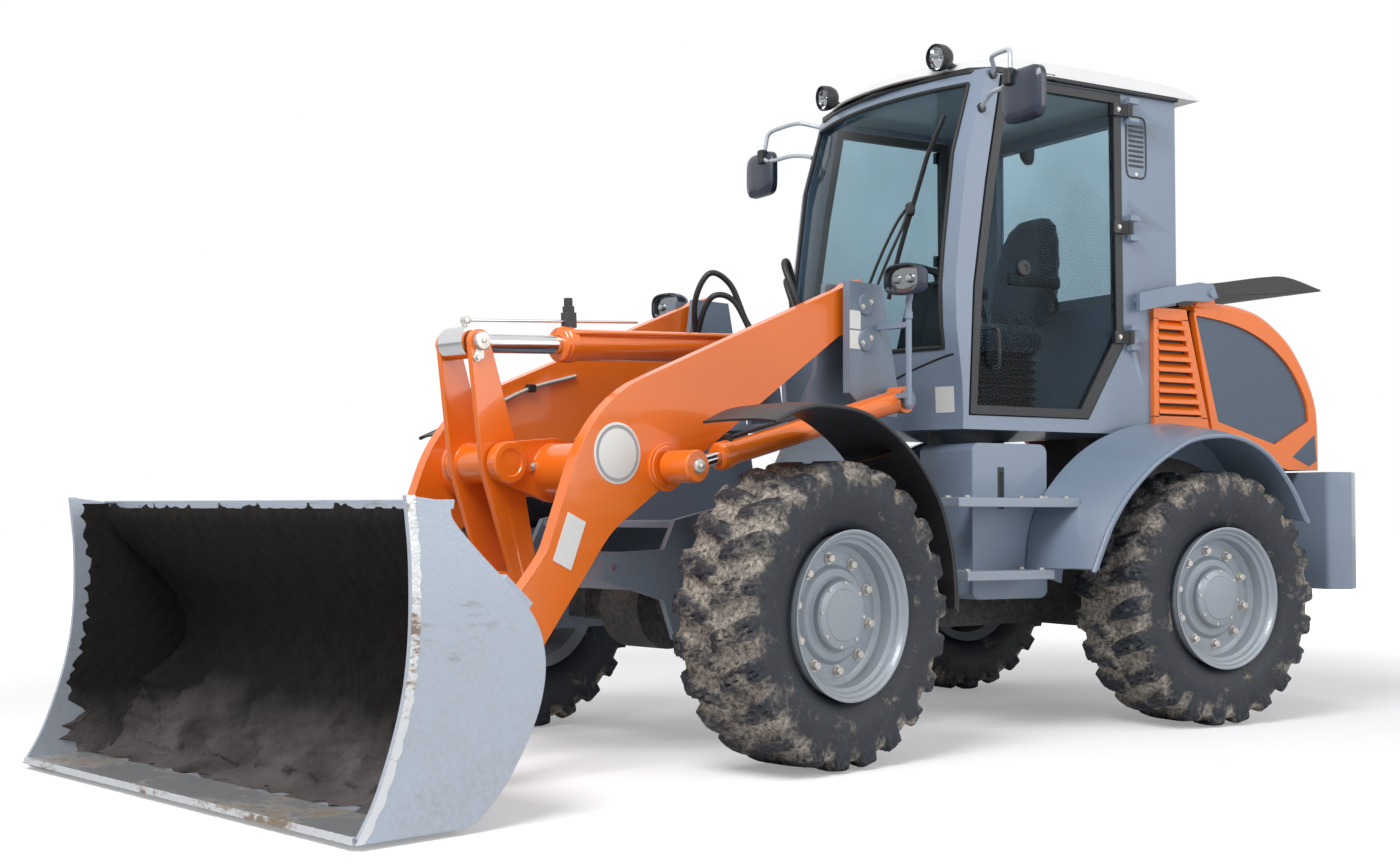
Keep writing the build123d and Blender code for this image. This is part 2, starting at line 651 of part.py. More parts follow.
tilt_length = span(tilt_base, crank_top)
tilt_stroke = 900
tilt_barrel_end = tilt_length - 395 - 60
with BuildPart() as tilt_barrel:
    bar_y(tilt_base, 65, -60, 60)
    bar_y(tilt_base, 30 + fit, -60, 60, mode=Mode.SUBTRACT)
    rod_between(tilt_base, crank_top, 0, tilt_barrel_radius, 60, tilt_barrel_end)
    rod_between(tilt_base, crank_top, 0, tilt_rod_radius + fit, 100, tilt_barrel_end, mode=Mode.SUBTRACT)
keep(tilt_barrel.part, "tilt_barrel", front_pieces)

with BuildPart() as tilt_rod:
    bar_y(crank_top, 60, -link_half, link_half)
    rod_between(tilt_base, crank_top, 0, tilt_rod_radius, tilt_barrel_end - 500, tilt_length - 50)
keep(tilt_rod.part, "tilt_rod", front_pieces)

lift_length = span(lift_base, lift_eye)
lift_barrel_end = lift_length - 150
with BuildPart() as lift_barrels:
    for side in (1, -1):
        y = side * lift_y
        bar_y(lift_base, 55, y - 35, y + 35)
        bar_y(lift_base, 28 + fit, y - 35, y + 35, mode=Mode.SUBTRACT)
        rod_between(lift_base, lift_eye, y, lift_barrel, 50, lift_barrel_end)
        rod_between(lift_base, lift_eye, y, lift_rod + fit, 90, lift_barrel_end, mode=Mode.SUBTRACT)
keep(lift_barrels.part, "lift_barrels", front_pieces)

with BuildPart() as lift_rods:
    for side in (1, -1):
        y = side * lift_y
        bar_y(lift_eye, 50, y - 35, y + 35)
        low, high = sorted((side * (arm_outer + 12 + gap), side * (lift_y + 50)))
        bar_y(lift_eye, 28, low, high)
        rod_between(lift_base, lift_eye, y, lift_rod, lift_barrel_end - 700, lift_length - 40)
keep(lift_rods.part, "lift_rods", front_pieces)

# --- bucket ---------------------------------------------------------------
side_outline = [(3210, 980), (3043, 942), (3021, 892), (2826, 722), (2704, 603), (2678, 458), (2742, 255),
                (2841, 113), (2960, 18), (3351, 18), (3300, 90), (3236, 258), (3183, 515), (3168, 729)]
with BuildPart() as bucket:
    slab(side_outline, -bucket_half, 2 * bucket_half)
    with BuildSketch(at_y(-bucket_half + bucket_wall)) as inside:
        with BuildLine():
            Polyline((3220, 968), (3050, 928), (3034, 880), (2838, 711), (2718, 596), (2693, 458), (2756, 262),
                     (2851, 126), (2965, 34), (3400, 34), (3400, 968), close=True)
        make_face()
    extrude(inside.sketch, amount=-2 * (bucket_half - bucket_wall), mode=Mode.SUBTRACT)
keep(bucket.part, "bucket", front_pieces)

coupler_gap = 8
with BuildPart() as coupler:
    for y in (arm_outer - arm_thick - coupler_gap - 25, arm_outer + coupler_gap):
        slab([(2440, 480), (2640, 640), (2704, 603), (2678, 458), (2742, 255), (2600, 250), (2440, 290), (2350, 385)],
             y, 25)
    hull_plate(((hook_pivot, 52), ((2616, 600), 40), ((2616, 400), 40)), crank_half - 20, 28)
    mirror(about=Plane.XZ)
    bar_y(hook_pivot, hook_pin, -crank_half - 15, crank_half + 15)
    block(2640, 2668, -arm_outer - 33, arm_outer + 33, 330, 430)
    block(2640, 2668, -arm_outer - 33, arm_outer + 33, 570, 660)
    bar_y(bucket_pivot, 30 + fit, -700, 700, mode=Mode.SUBTRACT)
keep(coupler.part, "quick_coupler", front_pieces)

# --- steering cylinders ---------------------------------------------------
turned = radians(steer)
for side_name, side in (("left", 1), ("right", -1)):
    back = Vector(steer_back[0], side * steer_back[1], steer_level)
    front = Vector(steer_front[0] * cos(turned) - side * steer_front[1] * sin(turned),
                   steer_front[0] * sin(turned) + side * steer_front[1] * cos(turned), steer_level)
    line = Plane(origin=back, x_dir=(0, 0, 1), z_dir=front - back)
    length = (front - back).length
    upright = (Align.CENTER, Align.CENTER, Align.MIN)
    with BuildPart() as steer_barrel:
        with Locations(line.offset(30).location):
            Cylinder(steer_barrel_radius, steer_barrel_length - 30, align=upright)
        with Locations(back):
            Cylinder(40, steer_eye)
        with Locations(line.offset(60).location):
            Cylinder(steer_rod_radius + fit, steer_barrel_length, align=upright, mode=Mode.SUBTRACT)
        with Locations(back):
            Cylinder(steer_pin + fit, steer_eye + 10, mode=Mode.SUBTRACT)
    keep(steer_barrel.part, "steer_barrel_" + side_name, rear_pieces)
    with BuildPart() as steer_rod:
        with Locations(line.offset(length - steer_rod_length).location):
            Cylinder(steer_rod_radius, steer_rod_length, align=upright)
        with Locations(front):
            Cylinder(36, steer_eye)
    keep(steer_rod.part, "steer_rod_" + side_name, rear_pieces)

# --- placing and writing --------------------------------------------------
turn = Location((0, 0, 0), (0, 0, steer))
placed = []
for piece in front_pieces:
    placed.append(piece.moved(turn))
for piece in rear_pieces:
    placed.append(piece)

low = Vector(*[min(getattr(p.bounding_box().min, axis) for p in placed) for axis in "XYZ"])
high = Vector(*[max(getattr(p.bounding_box().max, axis) for p in placed) for axis in "XYZ"])
origin = Location((-(low.X + high.X) / 2, -(low.Y + high.Y) / 2, -low.Z))
print("origin shift", origin.position, "size", high - low)

for piece, source in zip(placed, front_pieces + rear_pieces):
    piece = piece.moved(origin)
    piece.label = source.label
    export_step(piece, "parts/" + source.label + ".step")
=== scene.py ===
import json
import math

import bmesh
import bpy
import numpy as np
from mathutils import Matrix, Vector

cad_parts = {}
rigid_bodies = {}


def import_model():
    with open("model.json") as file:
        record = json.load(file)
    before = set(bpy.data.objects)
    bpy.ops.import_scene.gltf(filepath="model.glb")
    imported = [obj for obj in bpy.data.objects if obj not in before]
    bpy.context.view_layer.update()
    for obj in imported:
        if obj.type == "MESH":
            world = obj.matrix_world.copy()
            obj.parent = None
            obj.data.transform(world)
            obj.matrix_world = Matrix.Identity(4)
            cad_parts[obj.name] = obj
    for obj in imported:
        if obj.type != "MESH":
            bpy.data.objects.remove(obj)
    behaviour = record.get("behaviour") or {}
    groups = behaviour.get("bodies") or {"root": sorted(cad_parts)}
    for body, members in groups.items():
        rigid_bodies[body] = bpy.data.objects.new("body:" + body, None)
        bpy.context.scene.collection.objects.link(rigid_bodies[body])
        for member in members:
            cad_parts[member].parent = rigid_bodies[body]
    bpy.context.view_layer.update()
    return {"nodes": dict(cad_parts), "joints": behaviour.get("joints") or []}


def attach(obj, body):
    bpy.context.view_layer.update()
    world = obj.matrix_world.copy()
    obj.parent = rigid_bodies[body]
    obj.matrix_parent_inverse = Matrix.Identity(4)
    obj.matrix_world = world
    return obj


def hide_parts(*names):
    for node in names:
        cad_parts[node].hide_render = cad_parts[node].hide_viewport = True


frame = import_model()
nodes = frame["nodes"]
jointOf = {joint["name"]: joint for joint in frame["joints"]}
scene = bpy.context.scene
print("frame loaded:", len(nodes), "nodes")

# view
view = {
    "eye": (4.582, 6.426, 0.936),  # from the articulation pin, on the floor
    "yaw": math.radians(-120.46),
    "pitch": math.radians(2.61),
    "roll": math.radians(0.17),
    "lens": 44.35,  # mm on a 36 mm wide sensor
}


def makeCamera():
    forward = Vector((math.cos(view["pitch"]) * math.cos(view["yaw"]),
                      math.cos(view["pitch"]) * math.sin(view["yaw"]), math.sin(view["pitch"])))
    right = forward.cross(Vector((0, 0, 1))).normalized()
    up = right.cross(forward)
    tiltedRight = right * math.cos(view["roll"]) + up * math.sin(view["roll"])
    tiltedUp = up * math.cos(view["roll"]) - right * math.sin(view["roll"])
    data = bpy.data.cameras.new("viewCamera")
    data.sensor_width = 36
    data.lens = view["lens"]
    camera = bpy.data.objects.new("viewCamera", data)
    turn = Matrix((tiltedRight, tiltedUp, -forward)).transposed().to_4x4()
    pin = jointOf["articulation"]["pos_m"]
    camera.matrix_world = Matrix.Translation(Vector(view["eye"]) + Vector((pin[0], pin[1], 0))) @ turn
    scene.collection.objects.link(camera)
    scene.camera = camera


makeCamera()

# studio
studio = {"floorColor": (0.82, 0.82, 0.83), "floorHalf": 60.0, "worldLight": 0.42, "keyPower": 620.0,
          "fillPower": 240.0, "paperLight": 0.9}


# A node with its settings, its socket values, and links to it from other nodes' outputs.
def addNode(tree, kind, links=(), values=(), **settings):
    node = tree.nodes.new(kind)
    for key, value in settings.items():
        setattr(node, key, value)
    for socket, value in values:
        node.inputs[socket].default_value = value
    for output, socket in links:
        tree.links.new(output, node.inputs[socket])
    return node


def makeStudio():
    mesh = bpy.data.meshes.new("floor")
    half = studio["floorHalf"]
    mesh.from_pydata([(-half, -half, 0), (half, -half, 0), (half, half, 0), (-half, half, 0)], [],
                     [(0, 1, 2, 3)])
    floor = bpy.data.objects.new("floor", mesh)
    scene.collection.objects.link(floor)
    material = bpy.data.materials.new("floorPaper")
    material.use_nodes = True
    tree = material.node_tree
    shader = tree.nodes["Principled BSDF"]
    shader.inputs["Base Color"].default_value = (*studio["floorColor"], 1)
    shader.inputs["Roughness"].default_value = 0.95
    # the paper glows a little towards the camera, so its far edge meets the white behind it
    path = addNode(tree, "ShaderNodeLightPath")
    reach = addNode(tree, "ShaderNodeNewGeometry")
    span = addNode(tree, "ShaderNodeVectorMath", [(reach.outputs["Position"], 0)], operation="LENGTH")
    fade = addNode(tree, "ShaderNodeMapRange", [(span.outputs["Value"], "Value")],
                   [("From Min", 4.0), ("From Max", 9.0), ("To Min", 0.3)])
    glow = addNode(tree, "ShaderNodeMath", [(fade.outputs["Result"], 0), (path.outputs["Is Camera Ray"], 1)],
                   operation="MULTIPLY")
    tree.links.new(glow.outputs["Value"], shader.inputs["Emission Strength"])
    shader.inputs["Emission Color"].default_value = (studio["paperLight"],) * 3 + (1,)
    mesh.materials.append(material)
    world = bpy.data.worlds.new("studioWorld")
    world.use_nodes = True
    scene.world = world
    tree = world.node_tree
    background = tree.nodes["Background"]
    background.inputs["Color"].default_value = (1, 1, 1, 1)
    path = addNode(tree, "ShaderNodeLightPath")
    seen = addNode(tree, "ShaderNodeMath", [(path.outputs["Is Camera Ray"], 0), (path.outputs["Is Glossy Ray"], 1)],
                   operation="ADD", use_clamp=True)
    through = addNode(tree, "ShaderNodeMath", [(seen.outputs["Value"], 0), (path.outputs["Is Transmission Ray"], 1)],
                      operation="ADD", use_clamp=True)
    strength = addNode(tree, "ShaderNodeMapRange", [(through.outputs["Value"], "Value")],
                       [("To Min", studio["worldLight"])])
    tree.links.new(strength.outputs["Result"], background.inputs["Strength"])
    for name, place, size, power in (("key", (5.5, 3.5, 7.5), 4, studio["keyPower"]),
                                     ("fill", (-5, 8, 4), 6, studio["fillPower"])):
        light = bpy.data.lights.new(name, "AREA")
        light.size = size
        light.energy = power
        lamp = bpy.data.objects.new(name, light)
        turn = (-Vector(place)).to_track_quat("-Z", "Y").to_matrix().to_4x4()
        lamp.matrix_world = Matrix.Translation(place) @ turn
        scene.collection.objects.link(lamp)
    scene.view_settings.view_transform = "Standard"


makeStudio()
print("studio made")

# shared shader groups


def newGroup(name, inputs, outputs):
    group = bpy.data.node_groups.new(name, "ShaderNodeTree")
    for socketName, kind, value in inputs:
        socket = group.interface.new_socket(socketName, in_out="INPUT", socket_type=kind)
        socket.default_value = value
    for socketName, kind in outputs:
        group.interface.new_socket(socketName, in_out="OUTPUT", socket_type=kind)
    return group, group.nodes.new("NodeGroupInput"), group.nodes.new("NodeGroupOutput")


# Noise in the object's own space.
def addNoise(tree, place, scale, detail, roughness=0.5):
    return addNode(tree, "ShaderNodeTexNoise", [(place.outputs["Object"], "Vector")],
                   [("Scale", scale), ("Detail", detail), ("Roughness", roughness)])


def addMath(tree, operation, first, second):
    return addNode(tree, "ShaderNodeMath", [(first, 0), (second, 1)], operation=operation)


def addRange(tree, value, fromMin, fromMax, toMin=0.0, toMax=1.0):
    return addNode(tree, "ShaderNodeMapRange", [(value, "Value")],
                   [("From Min", fromMin), ("From Max", fromMax), ("To Min", toMin), ("To Max", toMax)])


# A colour between two by a factor; the result is output 2.
def addBlend(tree, factor, first, second):
    return addNode(tree, "ShaderNodeMix", [(factor, 0)], [(6, first), (7, second)], data_type="RGBA")


# Colour and roughness of a surface under dust: noise picks where, the low parts get more.
def makeDustGroup():
    group, start, end = newGroup("dustFilm", (
        ("Color", "NodeSocketColor", (0.5, 0.5, 0.5, 1)), ("Dust", "NodeSocketColor", (0.33, 0.28, 0.22, 1)),
        ("Amount", "NodeSocketFloat", 0.25), ("Scale", "NodeSocketFloat", 3.0),
        ("Roughness", "NodeSocketFloat", 0.35), ("Low Line", "NodeSocketFloat", 1.1)),
        (("Color", "NodeSocketColor"), ("Roughness", "NodeSocketFloat")))
    place = addNode(group, "ShaderNodeTexCoord")
    broad = addNode(group, "ShaderNodeTexNoise",
                    [(place.outputs["Object"], "Vector"), (start.outputs["Scale"], "Scale")],
                    [("Detail", 6.0), ("Roughness", 0.65)])
    fine = addNoise(group, place, 60.0, 4.0, 0.7)
    mixed = addMath(group, "MULTIPLY", broad.outputs["Fac"], fine.outputs["Fac"])
    spread = addRange(group, mixed.outputs[0], 0.16, 0.42)
    height = addNode(group, "ShaderNodeSeparateXYZ", [(place.outputs["Object"], "Vector")])
    lowness = addNode(group, "ShaderNodeMapRange",
                      [(height.outputs["Z"], "Value"), (start.outputs["Low Line"], "From Min")],
                      [("From Max", 0.1), ("To Min", 0.12), ("To Max", 1.0)])
    part = addMath(group, "MULTIPLY", spread.outputs["Result"], lowness.outputs["Result"])
    share = addNode(group, "ShaderNodeMath", [(part.outputs[0], 0), (start.outputs["Amount"], 1)],
                    operation="MULTIPLY", use_clamp=True)
    tone = addNode(group, "ShaderNodeMix", [(share.outputs[0], 0), (start.outputs["Color"], 6),
                                            (start.outputs["Dust"], 7)],
                   data_type="RGBA")
    rough = addNode(group, "ShaderNodeMix", [(share.outputs[0], 0), (start.outputs["Roughness"], 2)],
                    [(3, 0.85)])
    group.links.new(tone.outputs[2], end.inputs["Color"])
    group.links.new(rough.outputs[0], end.inputs["Roughness"])
    return group


# A height for Bump: fine grain over slow waves, each with its own strength.
def makeGrainGroup():
    group, start, end = newGroup("surfaceGrain", (
        ("Grain Scale", "NodeSocketFloat", 220.0), ("Wave Scale", "NodeSocketFloat", 5.0),
                                                  ("Waves", "NodeSocketFloat", 0.4)),
        (("Height", "NodeSocketFloat"),))
    place = addNode(group, "ShaderNodeTexCoord")
    grain = addNode(group, "ShaderNodeTexNoise",
                    [(place.outputs["Object"], "Vector"), (start.outputs["Grain Scale"], "Scale")],
                    [("Detail", 3.0)])
    wave = addNode(group, "ShaderNodeTexNoise",
                   [(place.outputs["Object"], "Vector"), (start.outputs["Wave Scale"], "Scale")],
                   [("Detail", 2.0)])
    big = addMath(group, "MULTIPLY", wave.outputs["Fac"], start.outputs["Waves"])
    both = addMath(group, "ADD", grain.outputs["Fac"], big.outputs[0])
    group.links.new(both.outputs[0], end.inputs["Height"])
    return group


# A mask of worn streaks: stretched noise times patchy noise, sharpened.
def makeScratchGroup():
    group, start, end = newGroup("wornStreaks", (
        ("Scale", "NodeSocketFloat", 8.0), ("Stretch", "NodeSocketVector", (1, 6, 1)),
                                                 ("Cover", "NodeSocketFloat", 0.45)),
        (("Mask", "NodeSocketFloat"),))
    place = addNode(group, "ShaderNodeTexCoord")
    drawn = addNode(group, "ShaderNodeVectorMath",
                    [(place.outputs["Object"], 0), (start.outputs["Stretch"], 1)],
                    operation="MULTIPLY")
    streak = addNode(group, "ShaderNodeTexNoise",
                     [(drawn.outputs[0], "Vector"), (start.outputs["Scale"], "Scale")],
                     [("Detail", 5.0), ("Roughness", 0.7)])
    patch = addNoise(group, place, 2.2, 3.0)
    both = addMath(group, "MULTIPLY", streak.outputs["Fac"], patch.outputs["Fac"])
    doubled = addNode(group, "ShaderNodeMath", [(both.outputs[0], 0)], [(1, 2.0)], operation="MULTIPLY")
    gone = addMath(group, "SUBTRACT", doubled.outputs[0], start.outputs["Cover"])
    sharp = addNode(group, "ShaderNodeMath", [(gone.outputs[0], 0)], [(1, 6.0)], operation="MULTIPLY",
                    use_clamp=True)
    group.links.new(sharp.outputs[0], end.inputs["Mask"])
    return group


dustFilm = makeDustGroup()
surfaceGrain = makeGrainGroup()
wornStreaks = makeScratchGroup()

# materials


def startMaterial(name, metallic=0.0, coat=0.0, specular=0.5):
    material = bpy.data.materials.new(name)
    material.use_nodes = True
    shader = material.node_tree.nodes["Principled BSDF"]
    shader.inputs["Metallic"].default_value = metallic
    shader.inputs["Coat Weight"].default_value = coat
    shader.inputs["Coat Roughness"].default_value = 0.05
    shader.inputs["Specular IOR Level"].default_value = specular
    return material, material.node_tree, shader


def placeGroup(tree, group, **values):
    node = tree.nodes.new("ShaderNodeGroup")
    node.node_tree = group
    for key, value in values.items():
        node.inputs[key].default_value = value
    return node


def bumpFrom(tree, shader, height, strength, distance):
    bump = addNode(tree, "ShaderNodeBump", [(height, "Height")],
                   [("Strength", strength), ("Distance", distance)])
    tree.links.new(bump.outputs["Normal"], shader.inputs["Normal"])


def joinFilm(tree, film, shader):
    tree.links.new(film.outputs["Color"], shader.inputs["Base Color"])
    tree.links.new(film.outputs["Roughness"], shader.inputs["Roughness"])


# Relief from the grain group: grain scale, wave scale and waves, then the bump's strength and depth.
def grainBump(tree, shader, grain, strength, distance):
    node = placeGroup(tree, surfaceGrain, **dict(zip(("Grain Scale", "Wave Scale", "Waves"), grain)))
    bumpFrom(tree, shader, node.outputs["Height"], strength, distance)


# Paint with slow colour variation, a dust film and fine orange peel.
def paint(name, color, dust=(0.33, 0.28, 0.22, 1), amount=0.3, roughness=0.32, lowLine=1.1, coat=0.5,
          grain=240.0, grainDepth=0.0004, metallic=0.0, variation=0.06):
    material, tree, shader = startMaterial(name, metallic, coat)
    place = addNode(tree, "ShaderNodeTexCoord")
    slow = addNoise(tree, place, 1.7, 2.0)
    deep = addNode(tree, "ShaderNodeMix", [(slow.outputs["Fac"], 0)], [
        (6, (*[c * (1 - variation) for c in color], 1)),
        (7, (*[min(1, c * (1 + variation)) for c in color], 1))],
        data_type="RGBA")
    film = placeGroup(tree, dustFilm, Dust=dust, Amount=amount, Scale=3.0, Roughness=roughness,
                      **{"Low Line": lowLine})
    tree.links.new(deep.outputs[2], film.inputs["Color"])
    joinFilm(tree, film, shader)
    grainBump(tree, shader, (grain, 6.0, 1.2), 0.5, grainDepth)
    return material


orangePaint = paint("orangePaint", (0.88, 0.175, 0.008), dust=(0.42, 0.27, 0.16, 1), amount=0.32,
                    roughness=0.28, coat=0.7)
greyPaint = paint("greyPaint", (0.20, 0.262, 0.355), amount=0.35, roughness=0.36, coat=0.35)
towerPaint = paint("towerPaint", (0.17, 0.22, 0.29), amount=0.5, roughness=0.42, coat=0.2, lowLine=1.6)
silverPaint = paint("silverPaint", (0.30, 0.345, 0.40), amount=0.5, roughness=0.34, coat=0.3, metallic=0.25,
                    lowLine=0.9)
stepPaint = paint("stepPaint", (0.26, 0.31, 0.38), amount=0.7, roughness=0.4, coat=0.1, metallic=0.35)
blackPlastic = paint("blackPlastic", (0.016, 0.017, 0.02), dust=(0.2, 0.18, 0.16, 1), amount=0.25,
                     roughness=0.42, coat=0.0,
                     grain=420.0, grainDepth=0.0006, variation=0.2)
mirrorShell = paint("mirrorShell", (0.012, 0.02, 0.045), dust=(0.2, 0.2, 0.2, 1), amount=0.12, roughness=0.3,
                    coat=0.3)
darkSteel = paint("darkSteel", (0.03, 0.032, 0.037), dust=(0.22, 0.19, 0.16, 1), amount=0.9, roughness=0.5,
                  coat=0.0,
                  grain=120.0, grainDepth=0.001, lowLine=1.5)
roofWhite = paint("roofWhite", (0.80, 0.81, 0.82), dust=(0.5, 0.48, 0.45, 1), amount=0.2, roughness=0.3,
                  coat=0.6,
                  lowLine=3.2)
plateWhite = paint("plateWhite", (0.78, 0.78, 0.76), amount=0.3, roughness=0.5, coat=0.0)
ringGrey = paint("ringGrey", (0.36, 0.37, 0.38), amount=0.3, roughness=0.5, coat=0.0)
boltZinc = paint("boltZinc", (0.62, 0.60, 0.56), amount=0.5, roughness=0.35, coat=0.0, metallic=0.8)
tubeGrey = paint("tubeGrey", (0.5, 0.55, 0.6), amount=0.15, roughness=0.3, coat=0.4, metallic=0.2)
hoseRubber = paint("hoseRubber", (0.014, 0.014, 0.016), dust=(0.2, 0.18, 0.16, 1), amount=0.3, roughness=0.5,
                   coat=0.0,
                   grain=600.0, grainDepth=0.0005, variation=0.2)
sealRubber = paint("sealRubber", (0.01, 0.01, 0.012), amount=0.12, roughness=0.6, coat=0.0, variation=0.2)


def makeChrome():
    material, tree, shader = startMaterial("chromeRod", metallic=1.0)
    film = placeGroup(tree, dustFilm, Color=(0.72, 0.73, 0.75, 1), Dust=(0.3, 0.27, 0.24, 1), Amount=0.25,
                      Scale=9.0,
                      Roughness=0.12, **{"Low Line": 2.6})
    joinFilm(tree, film, shader)
    return material


# Pale worn steel paint: streaks of bare metal, faint stains towards the floor.
def makeBucketSteel():
    material, tree, shader = startMaterial("bucketSteel", metallic=0.35)
    streaks = placeGroup(tree, wornStreaks, Scale=7.0, Stretch=(1.0, 1.0, 5.0), Cover=0.62)
    mixed = addBlend(tree, streaks.outputs["Mask"], (0.42, 0.475, 0.56, 1), (0.31, 0.33, 0.36, 1))
    film = placeGroup(tree, dustFilm, Dust=(0.30, 0.25, 0.2, 1), Amount=0.5, Scale=2.2, Roughness=0.36,
                      **{"Low Line": 0.75})
    tree.links.new(mixed.outputs[2], film.inputs["Color"])
    joinFilm(tree, film, shader)
    grainBump(tree, shader, (90.0, 3.5, 2.5), 0.5, 0.0012)
    return material


def makeWornEdge():
    material, tree, shader = startMaterial("wornEdge", metallic=0.75)
    streaks = placeGroup(tree, wornStreaks, Scale=18.0, Stretch=(1.0, 1.0, 2.0), Cover=0.5)
    mixed = addBlend(tree, streaks.outputs["Mask"], (0.66, 0.68, 0.70, 1), (0.30, 0.24, 0.19, 1))
    tree.links.new(mixed.outputs[2], shader.inputs["Base Color"])
    rough = addRange(tree, streaks.outputs["Mask"], 0.0, 1.0, 0.3, 0.75)
    tree.links.new(rough.outputs["Result"], shader.inputs["Roughness"])
    grainBump(tree, shader, (70.0, 14.0, 2.0), 0.7, 0.0015)
    return material


# Damp dark soil: crumbs at two sizes, paler where it has dried.
def makeSoil():
    material, tree, shader = startMaterial("soil", specular=0.25)
    place = addNode(tree, "ShaderNodeTexCoord")
    crumbs = addNoise(tree, place, 34.0, 8.0, 0.72)
    dried = addNoise(tree, place, 4.0, 5.0)
    height = addNode(tree, "ShaderNodeSeparateXYZ", [(place.outputs["Object"], "Vector")])
    low = addRange(tree, height.outputs["Z"], 0.45, 0.05, 0.0, 0.75)
    mask = addMath(tree, "MULTIPLY", dried.outputs["Fac"], low.outputs["Result"])
    grey = addRange(tree, mask.outputs[0], 0.12, 0.42)
    deep = addBlend(tree, crumbs.outputs["Fac"], (0.0022, 0.002, 0.002, 1), (0.020, 0.017, 0.015, 1))
    tone = addNode(tree, "ShaderNodeMix", [(grey.outputs["Result"], 0), (deep.outputs[2], 6)],
                   [(7, (0.12, 0.108, 0.105, 1))],
                   data_type="RGBA")
    tree.links.new(tone.outputs[2], shader.inputs["Base Color"])
    shader.inputs["Roughness"].default_value = 0.92
    bumpFrom(tree, shader, crumbs.outputs["Fac"], 0.9, 0.012)
    return material


# Rubber with mud: the mesh's own tread value says how much, noise says where.
def makeTyreRubber():
    material, tree, shader = startMaterial("tyreRubber", specular=0.35)
    place = addNode(tree, "ShaderNodeTexCoord")
    tread = addNode(tree, "ShaderNodeAttribute", attribute_name="tread")
    patches = addNoise(tree, place, 9.0, 9.0, 0.7)
    clods = addNoise(tree, place, 55.0, 6.0, 0.7)
    share = addRange(tree, tread.outputs["Fac"], 0.0, 1.0, 0.15, -0.10)
    over = addMath(tree, "SUBTRACT", patches.outputs["Fac"], share.outputs["Result"])
    muddy = addRange(tree, over.outputs[0], 0.42, 0.60)
    mud = addNode(tree, "ShaderNodeValToRGB", [(clods.outputs["Fac"], "Fac")])
    mud.color_ramp.elements[0].position = 0.32
    mud.color_ramp.elements[0].color = (0.030, 0.026, 0.022, 1)
    mud.color_ramp.elements[1].position = 0.62
    mud.color_ramp.elements[1].color = (0.52, 0.47, 0.41, 1)
    rubber = addBlend(tree, clods.outputs["Fac"], (0.008, 0.009, 0.012, 1), (0.042, 0.050, 0.066, 1))
    tone = addNode(tree, "ShaderNodeMix", [(muddy.outputs["Result"], 0), (rubber.outputs[2], 6),
                                           (mud.outputs["Color"], 7)],
                   data_type="RGBA")
    tree.links.new(tone.outputs[2], shader.inputs["Base Color"])
    rough = addRange(tree, muddy.outputs["Result"], 0.0, 1.0, 0.5, 0.95)
    tree.links.new(rough.outputs["Result"], shader.inputs["Roughness"])
    lump = addMath(tree, "MULTIPLY", clods.outputs["Fac"], muddy.outputs["Result"])
    bumpFrom(tree, shader, lump.outputs[0], 0.8, 0.012)
    return material


# Tinted sheet glass with faint dust specks on it; its tint is darker towards the bottom, in cloudy patches, which is
# painted shade.
def makeGlass(name, color):
    material, tree, shader = startMaterial(name)
    shader.inputs["Transmission Weight"].default_value = 1.0
    shader.inputs["IOR"].default_value = 1.12
    place = addNode(tree, "ShaderNodeTexCoord")
    cloud = addNoise(tree, place, 1.6, 3.0)
    height = addNode(tree, "ShaderNodeSeparateXYZ", [(place.outputs["Object"], "Vector")])
    # Painted shade: the tint falls to 0.55 of itself below 1.4 m and rises in cloudy patches up to 2.9 m.
    slope = addRange(tree, height.outputs["Z"], 1.4, 2.9)
    near = addMath(tree, "MULTIPLY", slope.outputs["Result"], cloud.outputs["Fac"])
    tone = addBlend(tree, near.outputs[0], (*[c * 0.55 for c in color], 1), (*color, 1))
    tree.links.new(tone.outputs[2], shader.inputs["Base Color"])
    specks = addNoise(tree, place, 90.0, 4.0)
    haze = addRange(tree, specks.outputs["Fac"], 0.62, 0.8, 0.0, 0.12)
    tree.links.new(haze.outputs["Result"], shader.inputs["Roughness"])
    return material


# Dark perforated panel: rows of small round holes from a Voronoi lattice; the holes are near black, painted shade of
# the space behind them.
def makeMesh():
    material, tree, shader = startMaterial("hoodMesh", metallic=0.3)
    place = addNode(tree, "ShaderNodeTexCoord")
    holes = addNode(tree, "ShaderNodeTexVoronoi", [(place.outputs["Object"], "Vector")],
                    [("Scale", 75.0), ("Randomness", 0.0)])
    rim = addRange(tree, holes.outputs["Distance"], 0.3, 0.42)
    # The holes' near black is painted shade seen through the perforations.
    tone = addBlend(tree, rim.outputs["Result"], (0.004, 0.005, 0.007, 1), (0.085, 0.115, 0.16, 1))
    tree.links.new(tone.outputs[2], shader.inputs["Base Color"])
    shader.inputs["Roughness"].default_value = 0.45
    bumpFrom(tree, shader, rim.outputs["Result"], 0.6, 0.002)
    return material


# Seat cloth: a small two-way weave.
def makeFabric():
    material, tree, shader = startMaterial("seatFabric", specular=0.2)
    shader.inputs["Sheen Weight"].default_value = 0.4
    place = addNode(tree, "ShaderNodeTexCoord")
    warp = addNode(tree, "ShaderNodeTexWave", [(place.outputs["Object"], "Vector")], [("Scale", 180.0)],
                   bands_direction="Y")
    weft = addNode(tree, "ShaderNodeTexWave", [(place.outputs["Object"], "Vector")], [("Scale", 180.0)],
                   bands_direction="Z")
    weave = addMath(tree, "MULTIPLY", warp.outputs["Fac"], weft.outputs["Fac"])
    tone = addBlend(tree, weave.outputs[0], (0.03, 0.04, 0.06, 1), (0.10, 0.13, 0.18, 1))
    tree.links.new(tone.outputs[2], shader.inputs["Base Color"])
    shader.inputs["Roughness"].default_value = 0.85
    bumpFrom(tree, shader, weave.outputs[0], 0.5, 0.001)
    return material


